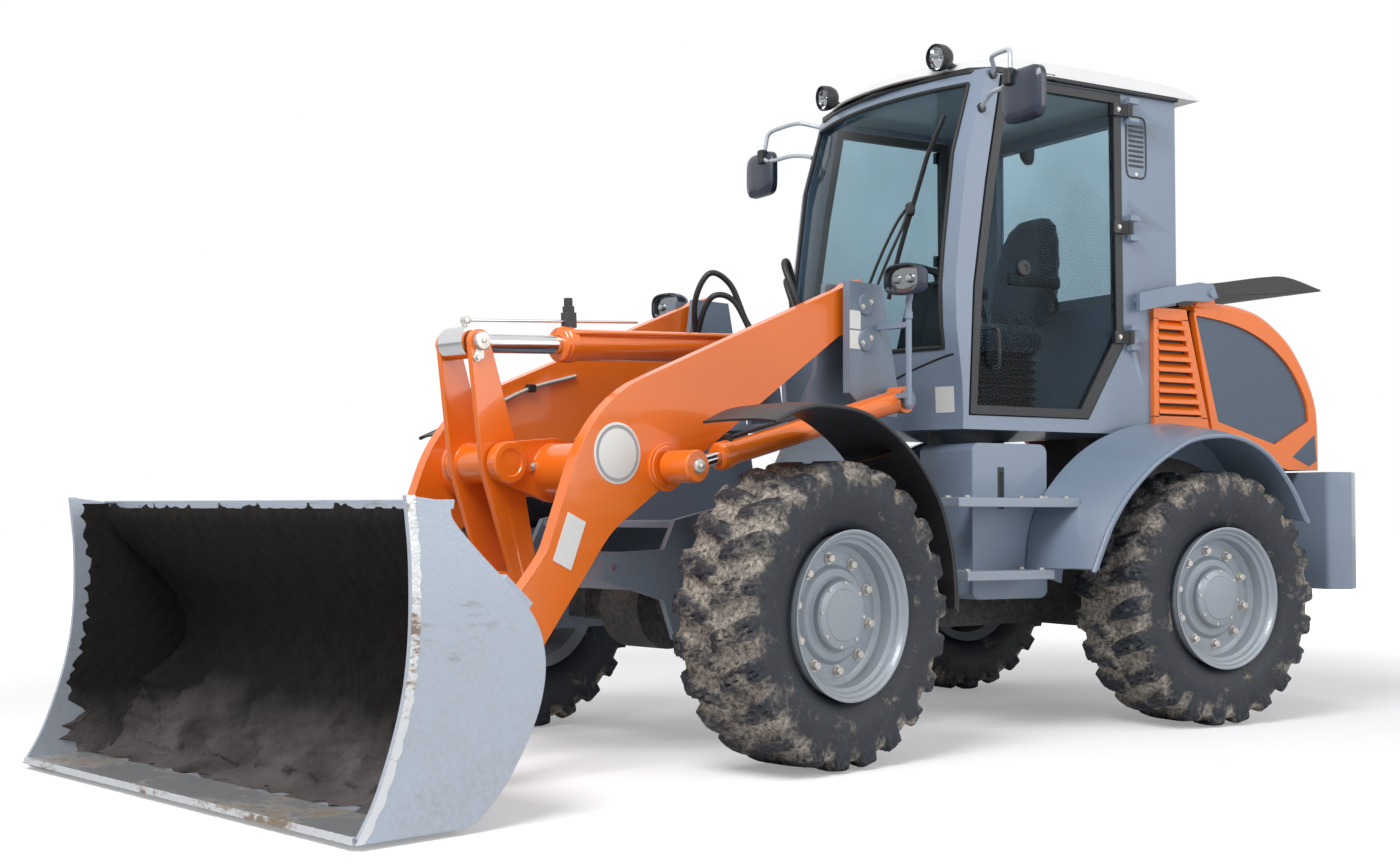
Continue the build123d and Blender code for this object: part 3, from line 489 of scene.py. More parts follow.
chromeRod = makeChrome()
bucketSteel = makeBucketSteel()
wornEdge = makeWornEdge()
soil = makeSoil()
tyreRubber = makeTyreRubber()
cabGlass = makeGlass("cabGlass", (0.68, 0.85, 0.93))
lensGlass = makeGlass("lensGlass", (0.92, 0.95, 0.97))
hoodMesh = makeMesh()
seatFabric = makeFabric()
mirrorFace = makeChrome()
mirrorFace.name = "mirrorFace"
print("materials made")

# places and surfaces
pin = jointOf["articulation"]["pos_m"]
layout = {"steer": math.radians(14.2), "origin": np.array([pin[0], pin[1], 0.0])}


# Millimetres from the articulation pin (x forwards, y left, z up) to metres in the frame; the front half
# turns.
def place(points, half="front"):
    p = np.asarray(points, float) / 1000
    if half == "front":
        c, s = math.cos(layout["steer"]), math.sin(layout["steer"])
        p = np.stack([c * p[..., 0] - s * p[..., 1], s * p[..., 0] + c * p[..., 1], p[..., 2]], -1)
    return p + layout["origin"]


# Quads between neighbouring points of a rows by cols grid, wrapped where an edge is closed.
def gridFaces(rows, cols, closeRows=False, closeCols=False):
    i = np.arange(rows if closeRows else rows - 1)[:, None]
    j = np.arange(cols if closeCols else cols - 1)[None, :]
    i2, j2 = (i + 1) % rows, (j + 1) % cols
    return np.stack([i * cols + j, i * cols + j2, i2 * cols + j2, i2 * cols + j], -1).reshape(-1, 4).tolist()


# Points and faces of a grid surface; open rows that go round end in flat caps.
def shell(points, closeRows=False):
    rows, cols = points.shape[:2]
    faces = gridFaces(rows, cols, closeRows, True)
    if not closeRows:
        faces += [list(range(cols)), list(range((rows - 1) * cols, rows * cols))]
    return points.reshape(-1, 3), faces


# Several shells as one.
def joined(shells):
    points, faces, start = [], [], 0
    for some, theirs in shells:
        points.append(some)
        faces += [[index + start for index in face] for face in theirs]
        start += len(some)
    return np.concatenate(points), faces


# A closed mesh piece from millimetre points, outward faces, soft shading up to the crease angle.
def addPiece(name, made, material, body, half="front", crease=32, bevel=0.0):
    points, faces = made
    mesh = bpy.data.meshes.new(name)
    mesh.from_pydata(place(points, half).tolist(), [], faces)
    shape = bmesh.new()
    shape.from_mesh(mesh)
    bmesh.ops.remove_doubles(shape, verts=shape.verts, dist=0.00002)
    bmesh.ops.recalc_face_normals(shape, faces=shape.faces)
    shape.to_mesh(mesh)
    shape.free()
    mesh.shade_smooth()
    mesh.set_sharp_from_angle(angle=math.radians(crease))
    piece = bpy.data.objects.new(name, mesh)
    scene.collection.objects.link(piece)
    mesh.materials.append(material)
    if bevel:
        addBevel(piece, bevel)
    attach(piece, body)
    return piece


softEdge = {"segments": 2, "angle": 38}


def addBevel(piece, width):
    edge = piece.modifiers.new("softEdge", "BEVEL")
    edge.width = width
    edge.segments = softEdge["segments"]
    edge.limit_method = "ANGLE"
    edge.angle_limit = math.radians(softEdge["angle"])
    edge.use_clamp_overlap = True
    edge.harden_normals = True


# Catmull-Rom through the points: each span blends its four nearest points by cubic weights.
def smoothPath(points, count=40):
    p = np.asarray(points, float)
    p = np.vstack([2 * p[0] - p[1], p, 2 * p[-1] - p[-2]])
    t = np.linspace(0, len(p) - 3 - 1e-9, count)
    i = t.astype(int)
    u = (t - i)[:, None]
    a, b, c, d = p[i], p[i + 1], p[i + 2], p[i + 3]
    return 0.5 * (2 * b + (c - a) * u + (2 * a - 5 * b + 4 * c - d) * u ** 2
                  + (3 * b - a - 3 * c + d) * u ** 3)


# A round or oval bar: circles square to the path, centre + r cos(a) n + r flat sin(a) b.
def tube(points, radius, sides=14, aside=(0.0, 0.0, 1.0), flat=1.0):
    path = np.asarray(points, float)
    along = np.gradient(path, axis=0)
    along /= np.linalg.norm(along, axis=1, keepdims=True)
    across = np.cross(along, np.asarray(aside, float))
    across /= np.linalg.norm(across, axis=1, keepdims=True)
    up = np.cross(across, along)
    angle = np.linspace(0, 2 * np.pi, sides, endpoint=False)
    reach = np.broadcast_to(np.asarray(radius, float), (len(path),))[:, None, None]
    rings = path[:, None] + reach * (np.cos(angle)[None, :, None] * across[:, None]
                                     + flat * np.sin(angle)[None, :, None] * up[:, None])
    return shell(rings)


def basis(axis):
    axis = np.asarray(axis, float) / np.linalg.norm(axis)
    side = np.cross(axis, (0.0, 0.0, 1.0) if abs(axis[2]) < 0.9 else (1.0, 0.0, 0.0))
    side /= np.linalg.norm(side)
    return axis, side, np.cross(axis, side)


# A turned shape: each profile pair (radius, distance) makes the circle centre + d axis + r (cos a u + sin a
# v).
def lathe(profile, centre, axis, sides=64, close=False):
    axis, u, v = basis(axis)
    profile = np.asarray(profile, float)
    angle = np.linspace(0, 2 * np.pi, sides, endpoint=False)
    spoke = np.cos(angle)[:, None] * u + np.sin(angle)[:, None] * v
    rings = np.asarray(centre, float) + profile[:, 1, None, None] * axis + profile[:, 0, None, None] * spoke
    return shell(rings, closeRows=close)


# A flat plate: the outline in its plane, pushed from low to high across it.
def prism(outline, low, high, plane="xz"):
    outline = np.asarray(outline, float)
    order = {"xz": (0, 2, 1), "yz": (1, 2, 0), "xy": (0, 1, 2)}[plane]
    points = np.zeros((2, len(outline), 3))
    points[:, :, order[0]] = outline[:, 0]
    points[:, :, order[1]] = outline[:, 1]
    points[:, :, order[2]] = np.array([low, high])[:, None]
    return shell(points)


# A strip plate whose upper and lower lines are smooth paths.
def slabBetween(over, under, low, high):
    return prism(np.vstack([over, under[::-1]]), low, high)


# Hexagon heads on washers, all at once: twelve points a ring, radius r cos30 / cos((a mod 60) - 30).
def boltHeads(centres, axis, radius, high, washer=1.5):
    axis, u, v = basis(axis)
    angle = np.linspace(0, 2 * np.pi, 12, endpoint=False)
    spoke = np.cos(angle)[:, None] * u + np.sin(angle)[:, None] * v
    hexagon = math.cos(math.radians(30)) / np.cos(np.mod(angle, math.radians(60)) - math.radians(30))
    rings = [(np.full(12, washer * radius), -0.3 * high), (np.full(12, washer * radius), 0.18 * high),
             (1.15 * radius * hexagon, 0.18 * high), (1.15 * radius * hexagon, 0.85 * high),
             (0.92 * radius * hexagon, high)]
    base = np.stack([reach[:, None] * spoke + level * axis for reach, level in rings])
    return joined([shell(base + np.asarray(centre, float)) for centre in centres])


# A softened copy of a CAD node stands for it: doubles merged, flat faces joined, edges rounded.
def copyNode(name, source, material, bevel=0.003):
    node = nodes[source]
    mesh = node.data.copy()
    mesh.name = name
    shape = bmesh.new()
    shape.from_mesh(mesh)
    bmesh.ops.remove_doubles(shape, verts=shape.verts, dist=0.00003)
    bmesh.ops.dissolve_limit(shape, angle_limit=math.radians(0.4), verts=shape.verts, edges=shape.edges)
    shape.to_mesh(mesh)
    shape.free()
    mesh.materials.clear()
    mesh.materials.append(material)
    mesh.shade_smooth()
    mesh.set_sharp_from_angle(angle=math.radians(32))
    piece = bpy.data.objects.new(name, mesh)
    scene.collection.objects.link(piece)
    if bevel:
        addBevel(piece, bevel)
    body = bodyOf[source]
    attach(piece, body)
    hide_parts(source)
    return piece


bodyOf = {name: node.parent.name.split(":", 1)[1] for name, node in nodes.items()}

# CAD nodes that keep their shape: their finish, and the width of their rounded edges where they get some
kept = {
    "boom_arm_left": (orangePaint, 0.004), "boom_arm_right": (orangePaint, 0.004),
        "boom_cross_tube": (orangePaint, 0.003),
    "bellcrank": (orangePaint, 0.004), "tilt_link": (orangePaint, 0.003),
    "quick_coupler": (bucketSteel, 0.003), "front_chassis": (towerPaint, 0.004),
        "counterweight": (greyPaint, 0.03),
    "side_tanks": (greyPaint, 0.006), "steps": (stepPaint, 0.004),
    "hood_hinge_arms": (greyPaint, 0.003),
    "rear_chassis": (darkSteel, 0.0), "front_axle": (darkSteel, 0.0), "rear_axle": (darkSteel, 0.0),
    "engine_block": (darkSteel, 0.0), "lift_barrels": (orangePaint, 0.0), "lift_rods": (chromeRod, 0.0),
    "tilt_barrel": (orangePaint, 0.0), "tilt_rod": (chromeRod, 0.0), "steer_barrel_left": (darkSteel, 0.0),
    "steer_barrel_right": (darkSteel, 0.0), "steer_rod_left": (chromeRod, 0.0),
        "steer_rod_right": (chromeRod, 0.0),
    "rear_window": (cabGlass, 0.0), "steering_console": (blackPlastic, 0.0),
}


def finishNodes():
    for name, (material, width) in kept.items():
        if width:
            copyNode(name + "_soft", name, material, width)
        else:
            for holder in nodes[name].material_slots:
                holder.material = material


finishNodes()
print("frame nodes finished")

# wheels
wheels = {
    "frontLeft": ("front", 1250, 1), "frontRight": ("front", 1250, -1),
    "rearLeft": ("rear", -1250, 1), "rearRight": ("rear", -1250, -1),
}
tyre = {"around": 396, "lugs": 22, "track": 880, "middle": 560, "lugHigh": 30, "slant": 0.42,
        "lugShare": 0.56,
        "section": [(-140, 302), (-164, 326), (-186, 380), (-193, 426), (-192, 468), (-185, 500),
                    (-170, 521), (-140, 528),
                    (-75, 530), (0, 530), (75, 530), (140, 528), (170, 521), (185, 500), (192, 468),
                    (193, 426),
                    (186, 380), (164, 326), (140, 302), (0, 298)]}
rim = {"sides": 96, "nuts": 10, "nutCircle": 206, "nutSize": 15,
       "profile": [(302, 180), (306, 188), (310, 194), (304, 194.5), (297, 190), (290, 178), (283, 176),
                   (279, 172),
                   (276, 160), (268, 154), (262, 150), (258, 128), (256, 104), (250, 98), (238, 93),
                   (234, 90),
                   (182, 88), (178, 91), (172, 100), (166, 104), (140, 106), (132, 112), (128, 130),
                   (122, 138),
                   (110, 141), (96, 143), (92, 147), (60, 149), (0.5, 151), (0.5, 30), (258, 30), (258, -165),
                   (302, -188), (302, -160), (288, -148), (288, 146), (302, 160)]}


# 0 below low, 1 above high, 3t^2 - 2t^3 between.
def smoothStep(value, low, high):
    t = np.clip((value - low) / (high - low), 0, 1)
    return t * t * (3 - 2 * t)


# Section (y, r) carried round the axle; slanted lugs, alternate from side to side, stand up along its normal.
def makeTyre(name, corner, half, axleX, side):
    section = smoothPath(tyre["section"][:-1], 62)
    section = np.vstack([section, [[100, 298], [0, 296], [-100, 298]]])
    y, r = section[:, 0], section[:, 1]
    ahead = np.roll(section, -1, 0) - np.roll(section, 1, 0)
    normal = np.stack([-ahead[:, 1], ahead[:, 0]], -1)
    normal /= np.linalg.norm(normal, axis=1, keepdims=True)
    angle = np.linspace(0, 2 * np.pi, tyre["around"], endpoint=False)[:, None]
    turn = angle * tyre["lugs"] / (2 * np.pi)
    wobble = 0.04 * np.sin(5 * angle + 1.3) + 0.03 * np.sin(11 * angle + y * 0.02)
    reach = np.abs(y) / 193
    phase = np.mod(turn + wobble * 0.3 + np.where(y > 0, 0.0, 0.5) - tyre["slant"] * reach, 1.0)
    share = tyre["lugShare"] * (0.78 + 0.3 * reach)
    bar = smoothStep(share / 2 - np.abs(phase - 0.5), -0.02, 0.05)
    inward = smoothStep(np.abs(y), -14, 16)
    tread = smoothStep(r, 440, 526)
    crown = np.where(r > 510, 1.0, smoothStep(r, 425, 515) * 0.55)
    rings = (3.0 * np.exp(-((r - 340) / 7) ** 2) + 2.5 * np.exp(-((r - 405) / 5) ** 2)
             + 2 * np.exp(-((r - 432) / 4) ** 2))
    notch = 1 - 0.5 * smoothStep(np.sin(turn * 2 * np.pi * 3 + y * 0.4), 0.86, 1.0) * tread
    rough = 1.6 * np.sin(17 * angle + y * 0.11) * np.sin(29 * angle - r * 0.07) * tread
    raised = tyre["lugHigh"] * bar * inward * crown * notch + rings * np.ones_like(angle) + rough
    raised = np.where(r[None, :] > 306, raised, 0)
    rr = np.minimum(r + raised * normal[:, 1], 558.5)
    yy = np.clip(y + raised * np.clip(normal[:, 0], -0.6, 0.6), -194.5, 194.5)
    points = np.stack([axleX + rr * np.cos(angle), side * tyre["track"] + yy * side,
                       tyre["middle"] + rr * np.sin(angle)], -1)
    piece = addPiece(name, shell(points, closeRows=True), tyreRubber, "wheel_" + corner, half,
                     crease=50)
    value = (tread * (1 - 0.72 * bar * inward)).astype(np.float32)
    mark = piece.data.attributes.new("tread", "FLOAT", "POINT")
    mark.data.foreach_set("value", np.ascontiguousarray(value).ravel())
    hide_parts("tyre_" + corner)


# A turned disc wheel with a deep stepped dish, hub cap and a ring of nuts.
def makeRim(name, corner, half, axleX, side):
    centre = (axleX, side * tyre["track"], tyre["middle"])
    outward = (0, side, 0)
    disc = addPiece("rim" + name, lathe(rim["profile"], centre, outward, rim["sides"], close=True),
                    silverPaint,
                    "wheel_" + corner, half, crease=24)
    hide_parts("rim_" + corner)
    turn = np.linspace(0, 2 * np.pi, rim["nuts"], endpoint=False) + 0.2
    centres = np.stack([axleX + rim["nutCircle"] * np.cos(turn),
                        np.full_like(turn, side * (tyre["track"] + 88)),
                        tyre["middle"] + rim["nutCircle"] * np.sin(turn)], -1)
    capTurn = np.linspace(0, 2 * np.pi, 8, endpoint=False) + 0.1
    capBolts = np.stack([axleX + 116 * np.cos(capTurn), np.full_like(capTurn, side * (tyre["track"] + 139)),
                         tyre["middle"] + 116 * np.sin(capTurn)], -1)
    nuts = joined([boltHeads(centres, outward, rim["nutSize"], 22), boltHeads(capBolts, outward, 6, 5, 1.2)])
    addPiece("wheelNuts" + name, nuts, boltZinc, "wheel_" + corner, half)
    valve = tube(smoothPath([(axleX + 238, side * (tyre["track"] + 92), tyre["middle"] - 80),
                             (axleX + 236, side * (tyre["track"] + 122), tyre["middle"] - 82)], 4), 4, 8)
    addPiece("tyreValve" + name, valve, sealRubber, "wheel_" + corner, half)


for key, (half, axleX, side) in wheels.items():
    corner = half + ("_left" if side > 0 else "_right")
    makeTyre("tyre" + key[0].upper() + key[1:], corner, half, axleX, side)
    makeRim(key[0].upper() + key[1:], corner, half, axleX, side)
print("wheels made")

# reshaped body panels
cabForm = {  # heights, then x of each upright line there: in the frame, and as shaped here
    "front": ((1290, 1500, 1733, 1900, 2082, 2494, 2859, 2912),
              (-132, -124, -94, -88, -105, -158, -265, -283)),
    "doorFront": ((1354, 1914, 2375, 2842), (-158, -185, -254, -342)),
    "framedFront": ((1330, 2870), (-120, -330)), "framedDoorFront": ((1349, 2850), (-210, -414)),
    "framedDoorRear": ((1349, 1693, 2850), (-846, -1065, -1056)),
    "half": 640, "bulge": 125, "skin": 70,
}


def lineAt(name, z):
    levels, places = cabForm[name]
    return np.interp(z, levels, places)


# Rise of a shallow arc over the cab's width.
def bow(y):
    radius = (cabForm["half"] ** 2 + cabForm["bulge"] ** 2) / (2 * cabForm["bulge"])
    return np.sqrt(radius ** 2 - np.square(np.clip(y, -640, 640))) - radius + cabForm["bulge"]


# Moves x between upright lines: door rear stays, door front and screen go to their bowed lines, in between
# linear.
def bowCab(points):
    x, y, z = points.T
    old = np.stack([lineAt("framedDoorRear", z), lineAt("framedDoorFront", z),
                    lineAt("framedFront", z) - cabForm["skin"],
                    lineAt("framedFront", z)])
    front = lineAt("front", z) + bow(y)
    new = np.stack([old[0], lineAt("doorFront", z),
                    np.maximum(front - cabForm["skin"], lineAt("doorFront", z) + 2), front])
    moved = x.copy()
    for i in range(3):
        inside = (x >= old[i]) & (x < old[i + 1])
        moved = np.where(inside, new[i] + (x - old[i]) / (old[i + 1] - old[i]) * (new[i + 1] - new[i]), moved)
    moved = np.where(x >= old[3], x - old[3] + new[3], moved)
    return np.stack([moved, y, z], -1)


# A copy of a CAD node, cut along planes so that it can bend, with its points moved in the cab's own
# millimetres.
def cutCopy(name, source, material, cuts, reshape):
    piece = copyNode(name, source, material, 0)
    shape = bmesh.new()
    shape.from_mesh(piece.data)
    for axis, levels in cuts:
        for level in levels:
            spot = place(np.array([level if axis == k else 0.0 for k in range(3)]), "rear")
            bmesh.ops.bisect_plane(shape, geom=shape.verts[:] + shape.edges[:] + shape.faces[:], dist=0.00001,
                                   plane_co=spot.tolist(),
                                   plane_no=[1.0 if axis == k else 0.0 for k in range(3)])
    shape.to_mesh(piece.data)
    shape.free()
    local = (readPoints(piece.data) - layout["origin"]) * 1000
    piece.data.vertices.foreach_set("co", place(reshape(local), "rear").astype(np.float32).ravel())
    piece.data.update()
    piece.data.shade_smooth()
    piece.data.set_sharp_from_angle(angle=math.radians(32))
    return piece


def readPoints(mesh):
    points = np.empty(len(mesh.vertices) * 3, np.float32)
    mesh.vertices.foreach_get("co", points)
    return points.reshape(-1, 3).astype(float)


def makeCabBody():
    across = (1, range(-600, 601, 60))
    levels = (2, (1354, 1500, 1733, 1914, 2082, 2230, 2375, 2494, 2600, 2730))
    cutCopy("cabShell", "cab_frame", greyPaint, (across, levels), bowCab)
    cutCopy("screenPane", "windshield", cabGlass, (across, levels), bowCab)
    for side in ("left", "right"):
        cutCopy("doorFrame" + side.title(), "door_frame_" + side, blackPlastic, (levels,), bowCab)
        cutCopy("doorPane" + side.title(), "door_glass_" + side, cabGlass, (levels,), bowCab)


fender = {
    "rearOuter": [(-487, 700), (-545, 820), (-593, 905), (-690, 1025), (-825, 1140), (-950, 1213),
                  (-1064, 1263),
                  (-1200, 1285), (-1329, 1285), (-1460, 1250), (-1581, 1179), (-1700, 1056), (-1797, 905)],
    "rearInner": [(-430, 690), (-445, 820), (-480, 930), (-560, 1040), (-690, 1160), (-850, 1255),
                  (-1038, 1318),
                  (-1200, 1340), (-1335, 1340), (-1470, 1296), (-1595, 1208), (-1715, 1070), (-1815, 905)],
    "front": [(1642, 1258), (1495, 1312), (1334, 1326), (1116, 1296), (893, 1177), (722, 1000), (640, 820),
              (612, 680),
              (606, 560)],
    "inner": 690, "outer": 1050,
}


# Between two edge lines: P = inner + s (outer - inner), crowned by 16 s (1 - s), then the same moved in by
# the wall.
def fenderSheet(outer, inner, side, wall, count=64, cols=14):
    outer, inner = smoothPath(outer, count), smoothPath(inner, count)
    s = np.linspace(0, 1, cols)[None, :, None]
    flat = inner[:, None] * (1 - s) + outer[:, None] * s
    ahead = np.gradient(flat, axis=0)
    normal = np.stack([-ahead[..., 1], ahead[..., 0]], -1)
    normal /= np.linalg.norm(normal, axis=-1, keepdims=True)
    middle = flat.mean(axis=(0, 1)) - np.array([0, 300])
    normal *= np.sign(((flat - middle) * normal).sum(-1).mean())
    over = flat + normal * (16 * s * (1 - s) - 10 * s ** 6)
    under = over - normal * wall
    y = side * (fender["inner"] + s[..., 0] * (fender["outer"] - fender["inner"])) + 0 * flat[..., 0]
    top = np.stack([over[..., 0], y, over[..., 1]], -1)
    bottom = np.stack([under[..., 0], y, under[..., 1]], -1)
    return sheetShell(top, bottom)


# Two grids of the same size, one over the other, closed round their edges.
def sheetShell(top, bottom):
    return shell(np.concatenate([top, bottom[:, ::-1]], axis=1))


def makeFenders():
    shells, rims = [], []
    for side in (1, -1):
        shells.append(fenderSheet(fender["rearOuter"], fender["rearInner"], side, 14))
        edge = smoothPath(fender["rearOuter"], 60)
        rims.append(tube(np.stack([edge[:, 0], 0 * edge[:, 0] + side * 1046, edge[:, 1] - 16], -1), 11, 10,
                         (0, 1, 0)))
        inner = smoothPath(fender["rearInner"], 60)
        web = np.stack([-1250 + 625 * np.cos(np.linspace(0.1, math.pi - 0.45, 60)),
                        560 + 625 * np.sin(np.linspace(0.1, math.pi - 0.45, 60))], -1)
        rims.append(slabBetween(inner - np.array([0, 6]), web, *sorted((side * 690, side * 697))))
        for x, z in ((-592, 800), (-1700, 1010)):
            rims.append(tube(np.array([(x, side * 318, z), (x, side * 500, z), (x, side * 694, z)]), 18, 12,
                             (0, 0, 1)))
    piece = addPiece("rearFenderSheets", joined(shells + rims), greyPaint, "rear_frame",
                     "rear", crease=40)
    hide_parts("rear_fenders")
    shells = []
    for side in (1, -1):
        shells.append(fenderSheet(fender["front"], fender["front"], side, 9))
        edge = smoothPath(fender["front"], 60)
        shells.append(tube(np.stack([edge[:, 0], 0 * edge[:, 0] + side * 1046, edge[:, 1] - 14], -1), 8, 10,
                           (0, 1, 0)))
        shells.append(tube(smoothPath([(705, side * 400, 895), (705, side * 690, 895),
                                       (712, side * 900, 960)], 12), 17, 12,
                           (0, 0.1, 1)))
        shells.append(tube(smoothPath([(880, side * 400, 1110), (880, side * 700, 1110),
                                       (890, side * 960, 1150)], 12), 17, 12,
                           (0, 0.1, 1)))
    piece = addPiece("frontFenderSheets", joined(shells), blackPlastic, "front_frame",
                     "front", crease=40)
    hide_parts("front_fenders")


hood = {
    "half": 665, "edge": 30,
    "curve": [(-1490, 1906), (-1671, 1925), (-1850, 1908), (-1983, 1866), (-2130, 1772), (-2232, 1655),
              (-2300, 1540),
              (-2338, 1425), (-2346, 1264), (-2346, 1142)],
    "foot": [(-2110, 1142), (-1700, 1250), (-1604, 1310), (-1487, 1860)],
    "meshTop": [(-1500, 1856), (-1568, 1852), (-1730, 1832), (-1876, 1794), (-2010, 1734), (-2125, 1650),
                (-2206, 1552),
                (-2252, 1466), (-2266, 1382)],
    "meshLow": [(-2025, 1262), (-1640, 1362)],
    "meshTail": [(-2145, 1205), (-2305, 1318), (-2318, 1188), (-2262, 1160)],
    "scoopTop": [(-1560, 1968), (-1620, 2030), (-1836, 2054), (-2181, 2108), (-2358, 2118), (-2596, 2072)],
    "scoopUnder": [(-2596, 2064), (-2290, 2030), (-1900, 1990), (-1820, 1900), (-1640, 1890), (-1560, 1950)],
    "scoopHalf": 475,
}


# Where rays from the centre meet a closed outline: one point for each angle, by crossing every side at once.
def radial(outline, centre, angles):
    outline = np.asarray(outline, float) - centre
    a, b = outline, np.roll(outline, -1, 0)
    d = np.stack([np.cos(angles), np.sin(angles)], -1)
    side = b - a
    cross = d[:, None, 0] * side[None, :, 1] - d[:, None, 1] * side[None, :, 0]
    cross = np.where(np.abs(cross) < 1e-9, 1e-9, cross)
    reach = (a[None, :, 0] * side[None, :, 1] - a[None, :, 1] * side[None, :, 0]) / cross
    share = (a[None, :, 0] * d[:, None, 1] - a[None, :, 1] * d[:, None, 0]) / cross
    reach = np.where((share >= -1e-6) & (share <= 1 + 1e-6) & (reach > 0), reach, 0).max(1)
    return centre + d * reach[:, None]


# A rounded skin over two side frames, each with a sunk panel of perforated sheet.
def makeHood():
    curve = smoothPath(hood["curve"], 60)
    ahead = np.gradient(curve, axis=0)
    normal = np.stack([ahead[:, 1], -ahead[:, 0]], -1)
    normal /= np.linalg.norm(normal, axis=1, keepdims=True)
    normal *= -1 if normal[20, 1] < 0 else 1
    half, edge = hood["half"], hood["edge"]
    bend = np.linspace(0, math.pi / 2, 7)
    y = np.concatenate([-half + edge - edge * np.sin(bend)[::-1],
                        np.linspace(-half + edge + 40, half - edge - 40, 9),
                        half - edge + edge * np.sin(bend)])
    drop = np.concatenate([edge - edge * np.cos(bend)[::-1], np.zeros(9), edge - edge * np.cos(bend)])
    over = curve[:, None] - normal[:, None] * drop[None, :, None]
    under = curve[:, None] - normal[:, None] * (drop + 24 * (1 - drop / edge * 0.6))[None, :, None]
    y = y[None] + 0 * over[..., 0]
    skin = sheetShell(np.stack([over[..., 0], y, over[..., 1]], -1),
                      np.stack([under[..., 0], y * 0.985, under[..., 1]], -1))
    inset = curve - normal * edge
    outline = np.vstack([inset, hood["foot"]])
    pocket = np.vstack([smoothPath(hood["meshTop"], 40), hood["meshLow"]])
    centre = pocket.mean(0)
    angles = np.linspace(0, 2 * np.pi, 300, endpoint=False)
    outer, inner = radial(outline, centre, angles), radial(pocket, centre, angles)
    frames, plates, meshes = [], [], []
    for side in (1, -1):
        ring = [np.stack([p[:, 0], 0 * p[:, 0] + side * level, p[:, 1]], -1) for p, level in
                ((outer, 648), (outer, half), (inner, half), (inner, 648))]
        frames.append(shell(np.stack(ring), closeRows=True))
        plates.append(prism(outline, *sorted((side * 634, side * 648))))
        meshes.append(prism(np.vstack([smoothPath(hood["meshTop"], 40), hood["meshLow"]]),
                            *sorted((side * 647, side * 652))))
        meshes.append(prism(hood["meshTail"], *sorted((side * 660, side * 666))))
    lugs = [prism([(-1650, 1885), (-1500, 1900), (-1540, 1990), (-1610, 1990)],
                  *sorted((side * 636, side * 662)))
            for side in (1, -1)]
    piece = addPiece("hoodSkin", joined([skin] + frames + plates), orangePaint, "hood",
                     "rear", crease=34)
    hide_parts("hood_shell")
    addPiece("hoodLugs", joined(lugs), orangePaint, "hood", "rear", bevel=0.006)
    addPiece("hoodSidePanels", joined(meshes), hoodMesh, "hood", "rear", bevel=0.0015)
    grille = smoothPath(hood["curve"], 60)[24:52]
    wide = np.linspace(-430, 430, 12)
    top = (grille + normal[24:52] * 3.5)[:, None] + 0 * wide[None, :, None]
    bottom = (grille - normal[24:52] * 6)[:, None] + 0 * wide[None, :, None]
    yy = wide[None, :] + 0 * top[..., 0]
    sheet = sheetShell(np.stack([top[..., 0], yy, top[..., 1]], -1),
                       np.stack([bottom[..., 0], yy, bottom[..., 1]], -1))
    addPiece("hoodRearGrille", sheet, hoodMesh, "hood", "rear", bevel=0.002)
    bars = []
    for k in range(3, 28, 4):
        spot = grille[k] + normal[24 + k] * 5
        bars.append(tube(np.array([(spot[0], -436, spot[1]), (spot[0], 0, spot[1]),
                                   (spot[0], 436, spot[1])]), 7, 10, (0, 0, 1)))
    addPiece("hoodGrilleBars", joined(bars), blackPlastic, "hood", "rear")
    top, under = smoothPath(hood["scoopTop"], 50), smoothPath(hood["scoopUnder"], 50)
    scoop = addPiece("airScoop", prism(np.vstack([top, under]), -hood["scoopHalf"], hood["scoopHalf"]),
                     darkSteel, "hood",
                     "rear", bevel=0.006)
    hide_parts("hood_scoop")


vents = {"front": -1230, "low": 1312, "top": 1880, "count": 9, "first": 1392, "pitch": 49, "rearLow": -1590,
         "rearTop": -1440}


# Panels behind the doors: a plate with a frame and nine slanted blades, each bent out and down at its foot, with a
# dark steel sheet of painted shade behind the blades.
def makeVents():
    plates, blades, dark = [], [], []
    for side in (1, -1):
        rear = lambda z: np.interp(z, [vents["low"], vents["top"]], [vents["rearLow"], vents["rearTop"]])
        outline = [(vents["front"], vents["low"]), (vents["rearLow"], vents["low"]),
                   (vents["rearTop"], vents["top"]),
                   (vents["front"], vents["top"])]
        # Painted shade: a dark steel sheet behind the blades stands for the unlit space behind the vent.
        dark.append(prism(outline, *sorted((side * 600, side * 640))))
        for low, high in ((vents["low"], 1380), (1824, vents["top"])):
            plates.append(prism([(vents["front"], low), (rear(low), low), (rear(high), high),
                                 (vents["front"], high)],
                                *sorted((side * 632, side * 664))))
        plates.append(prism([(vents["front"], 1370), (-1262, 1370), (-1262, 1834), (vents["front"], 1834)],
                            *sorted((side * 632, side * 664))))
        plates.append(prism([(rear(1370) + 44, 1370), (rear(1370), 1370), (rear(1834), 1834),
                             (rear(1834) + 44, 1834)],
                            *sorted((side * 632, side * 664))))
        for count in range(vents["count"]):
            z = vents["first"] + vents["pitch"] * count
            section = np.array([(636, z + 40), (652, z + 30), (669, z + 8), (672, z - 2), (668, z - 4),
                                (662, z + 6), (646, z + 24),
                                (634, z + 30)])
            left, right = rear(z) + 40, -1258
            rows = np.stack([np.stack([0 * section[:, 0] + x, side * section[:, 0], section[:, 1]], -1)
                             for x in np.linspace(left, right, 5)])
            blades.append(shell(rows))
    piece = addPiece("ventFrames", joined(plates), orangePaint, "rear_frame", "rear",
                     bevel=0.003)
    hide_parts("vent_panels")
    addPiece("ventBlades", joined(blades), orangePaint, "rear_frame", "rear", crease=50)
    addPiece("ventBacks", joined(dark), darkSteel, "rear_frame", "rear")


roof = {"half": 668, "side": [(-130, 2874), (-118, 2896), (-275, 2968), (-745, 3002), (-1245, 2996),
                              (-1470, 2980), (-1524, 2935),
                              (-1526, 2874)]}


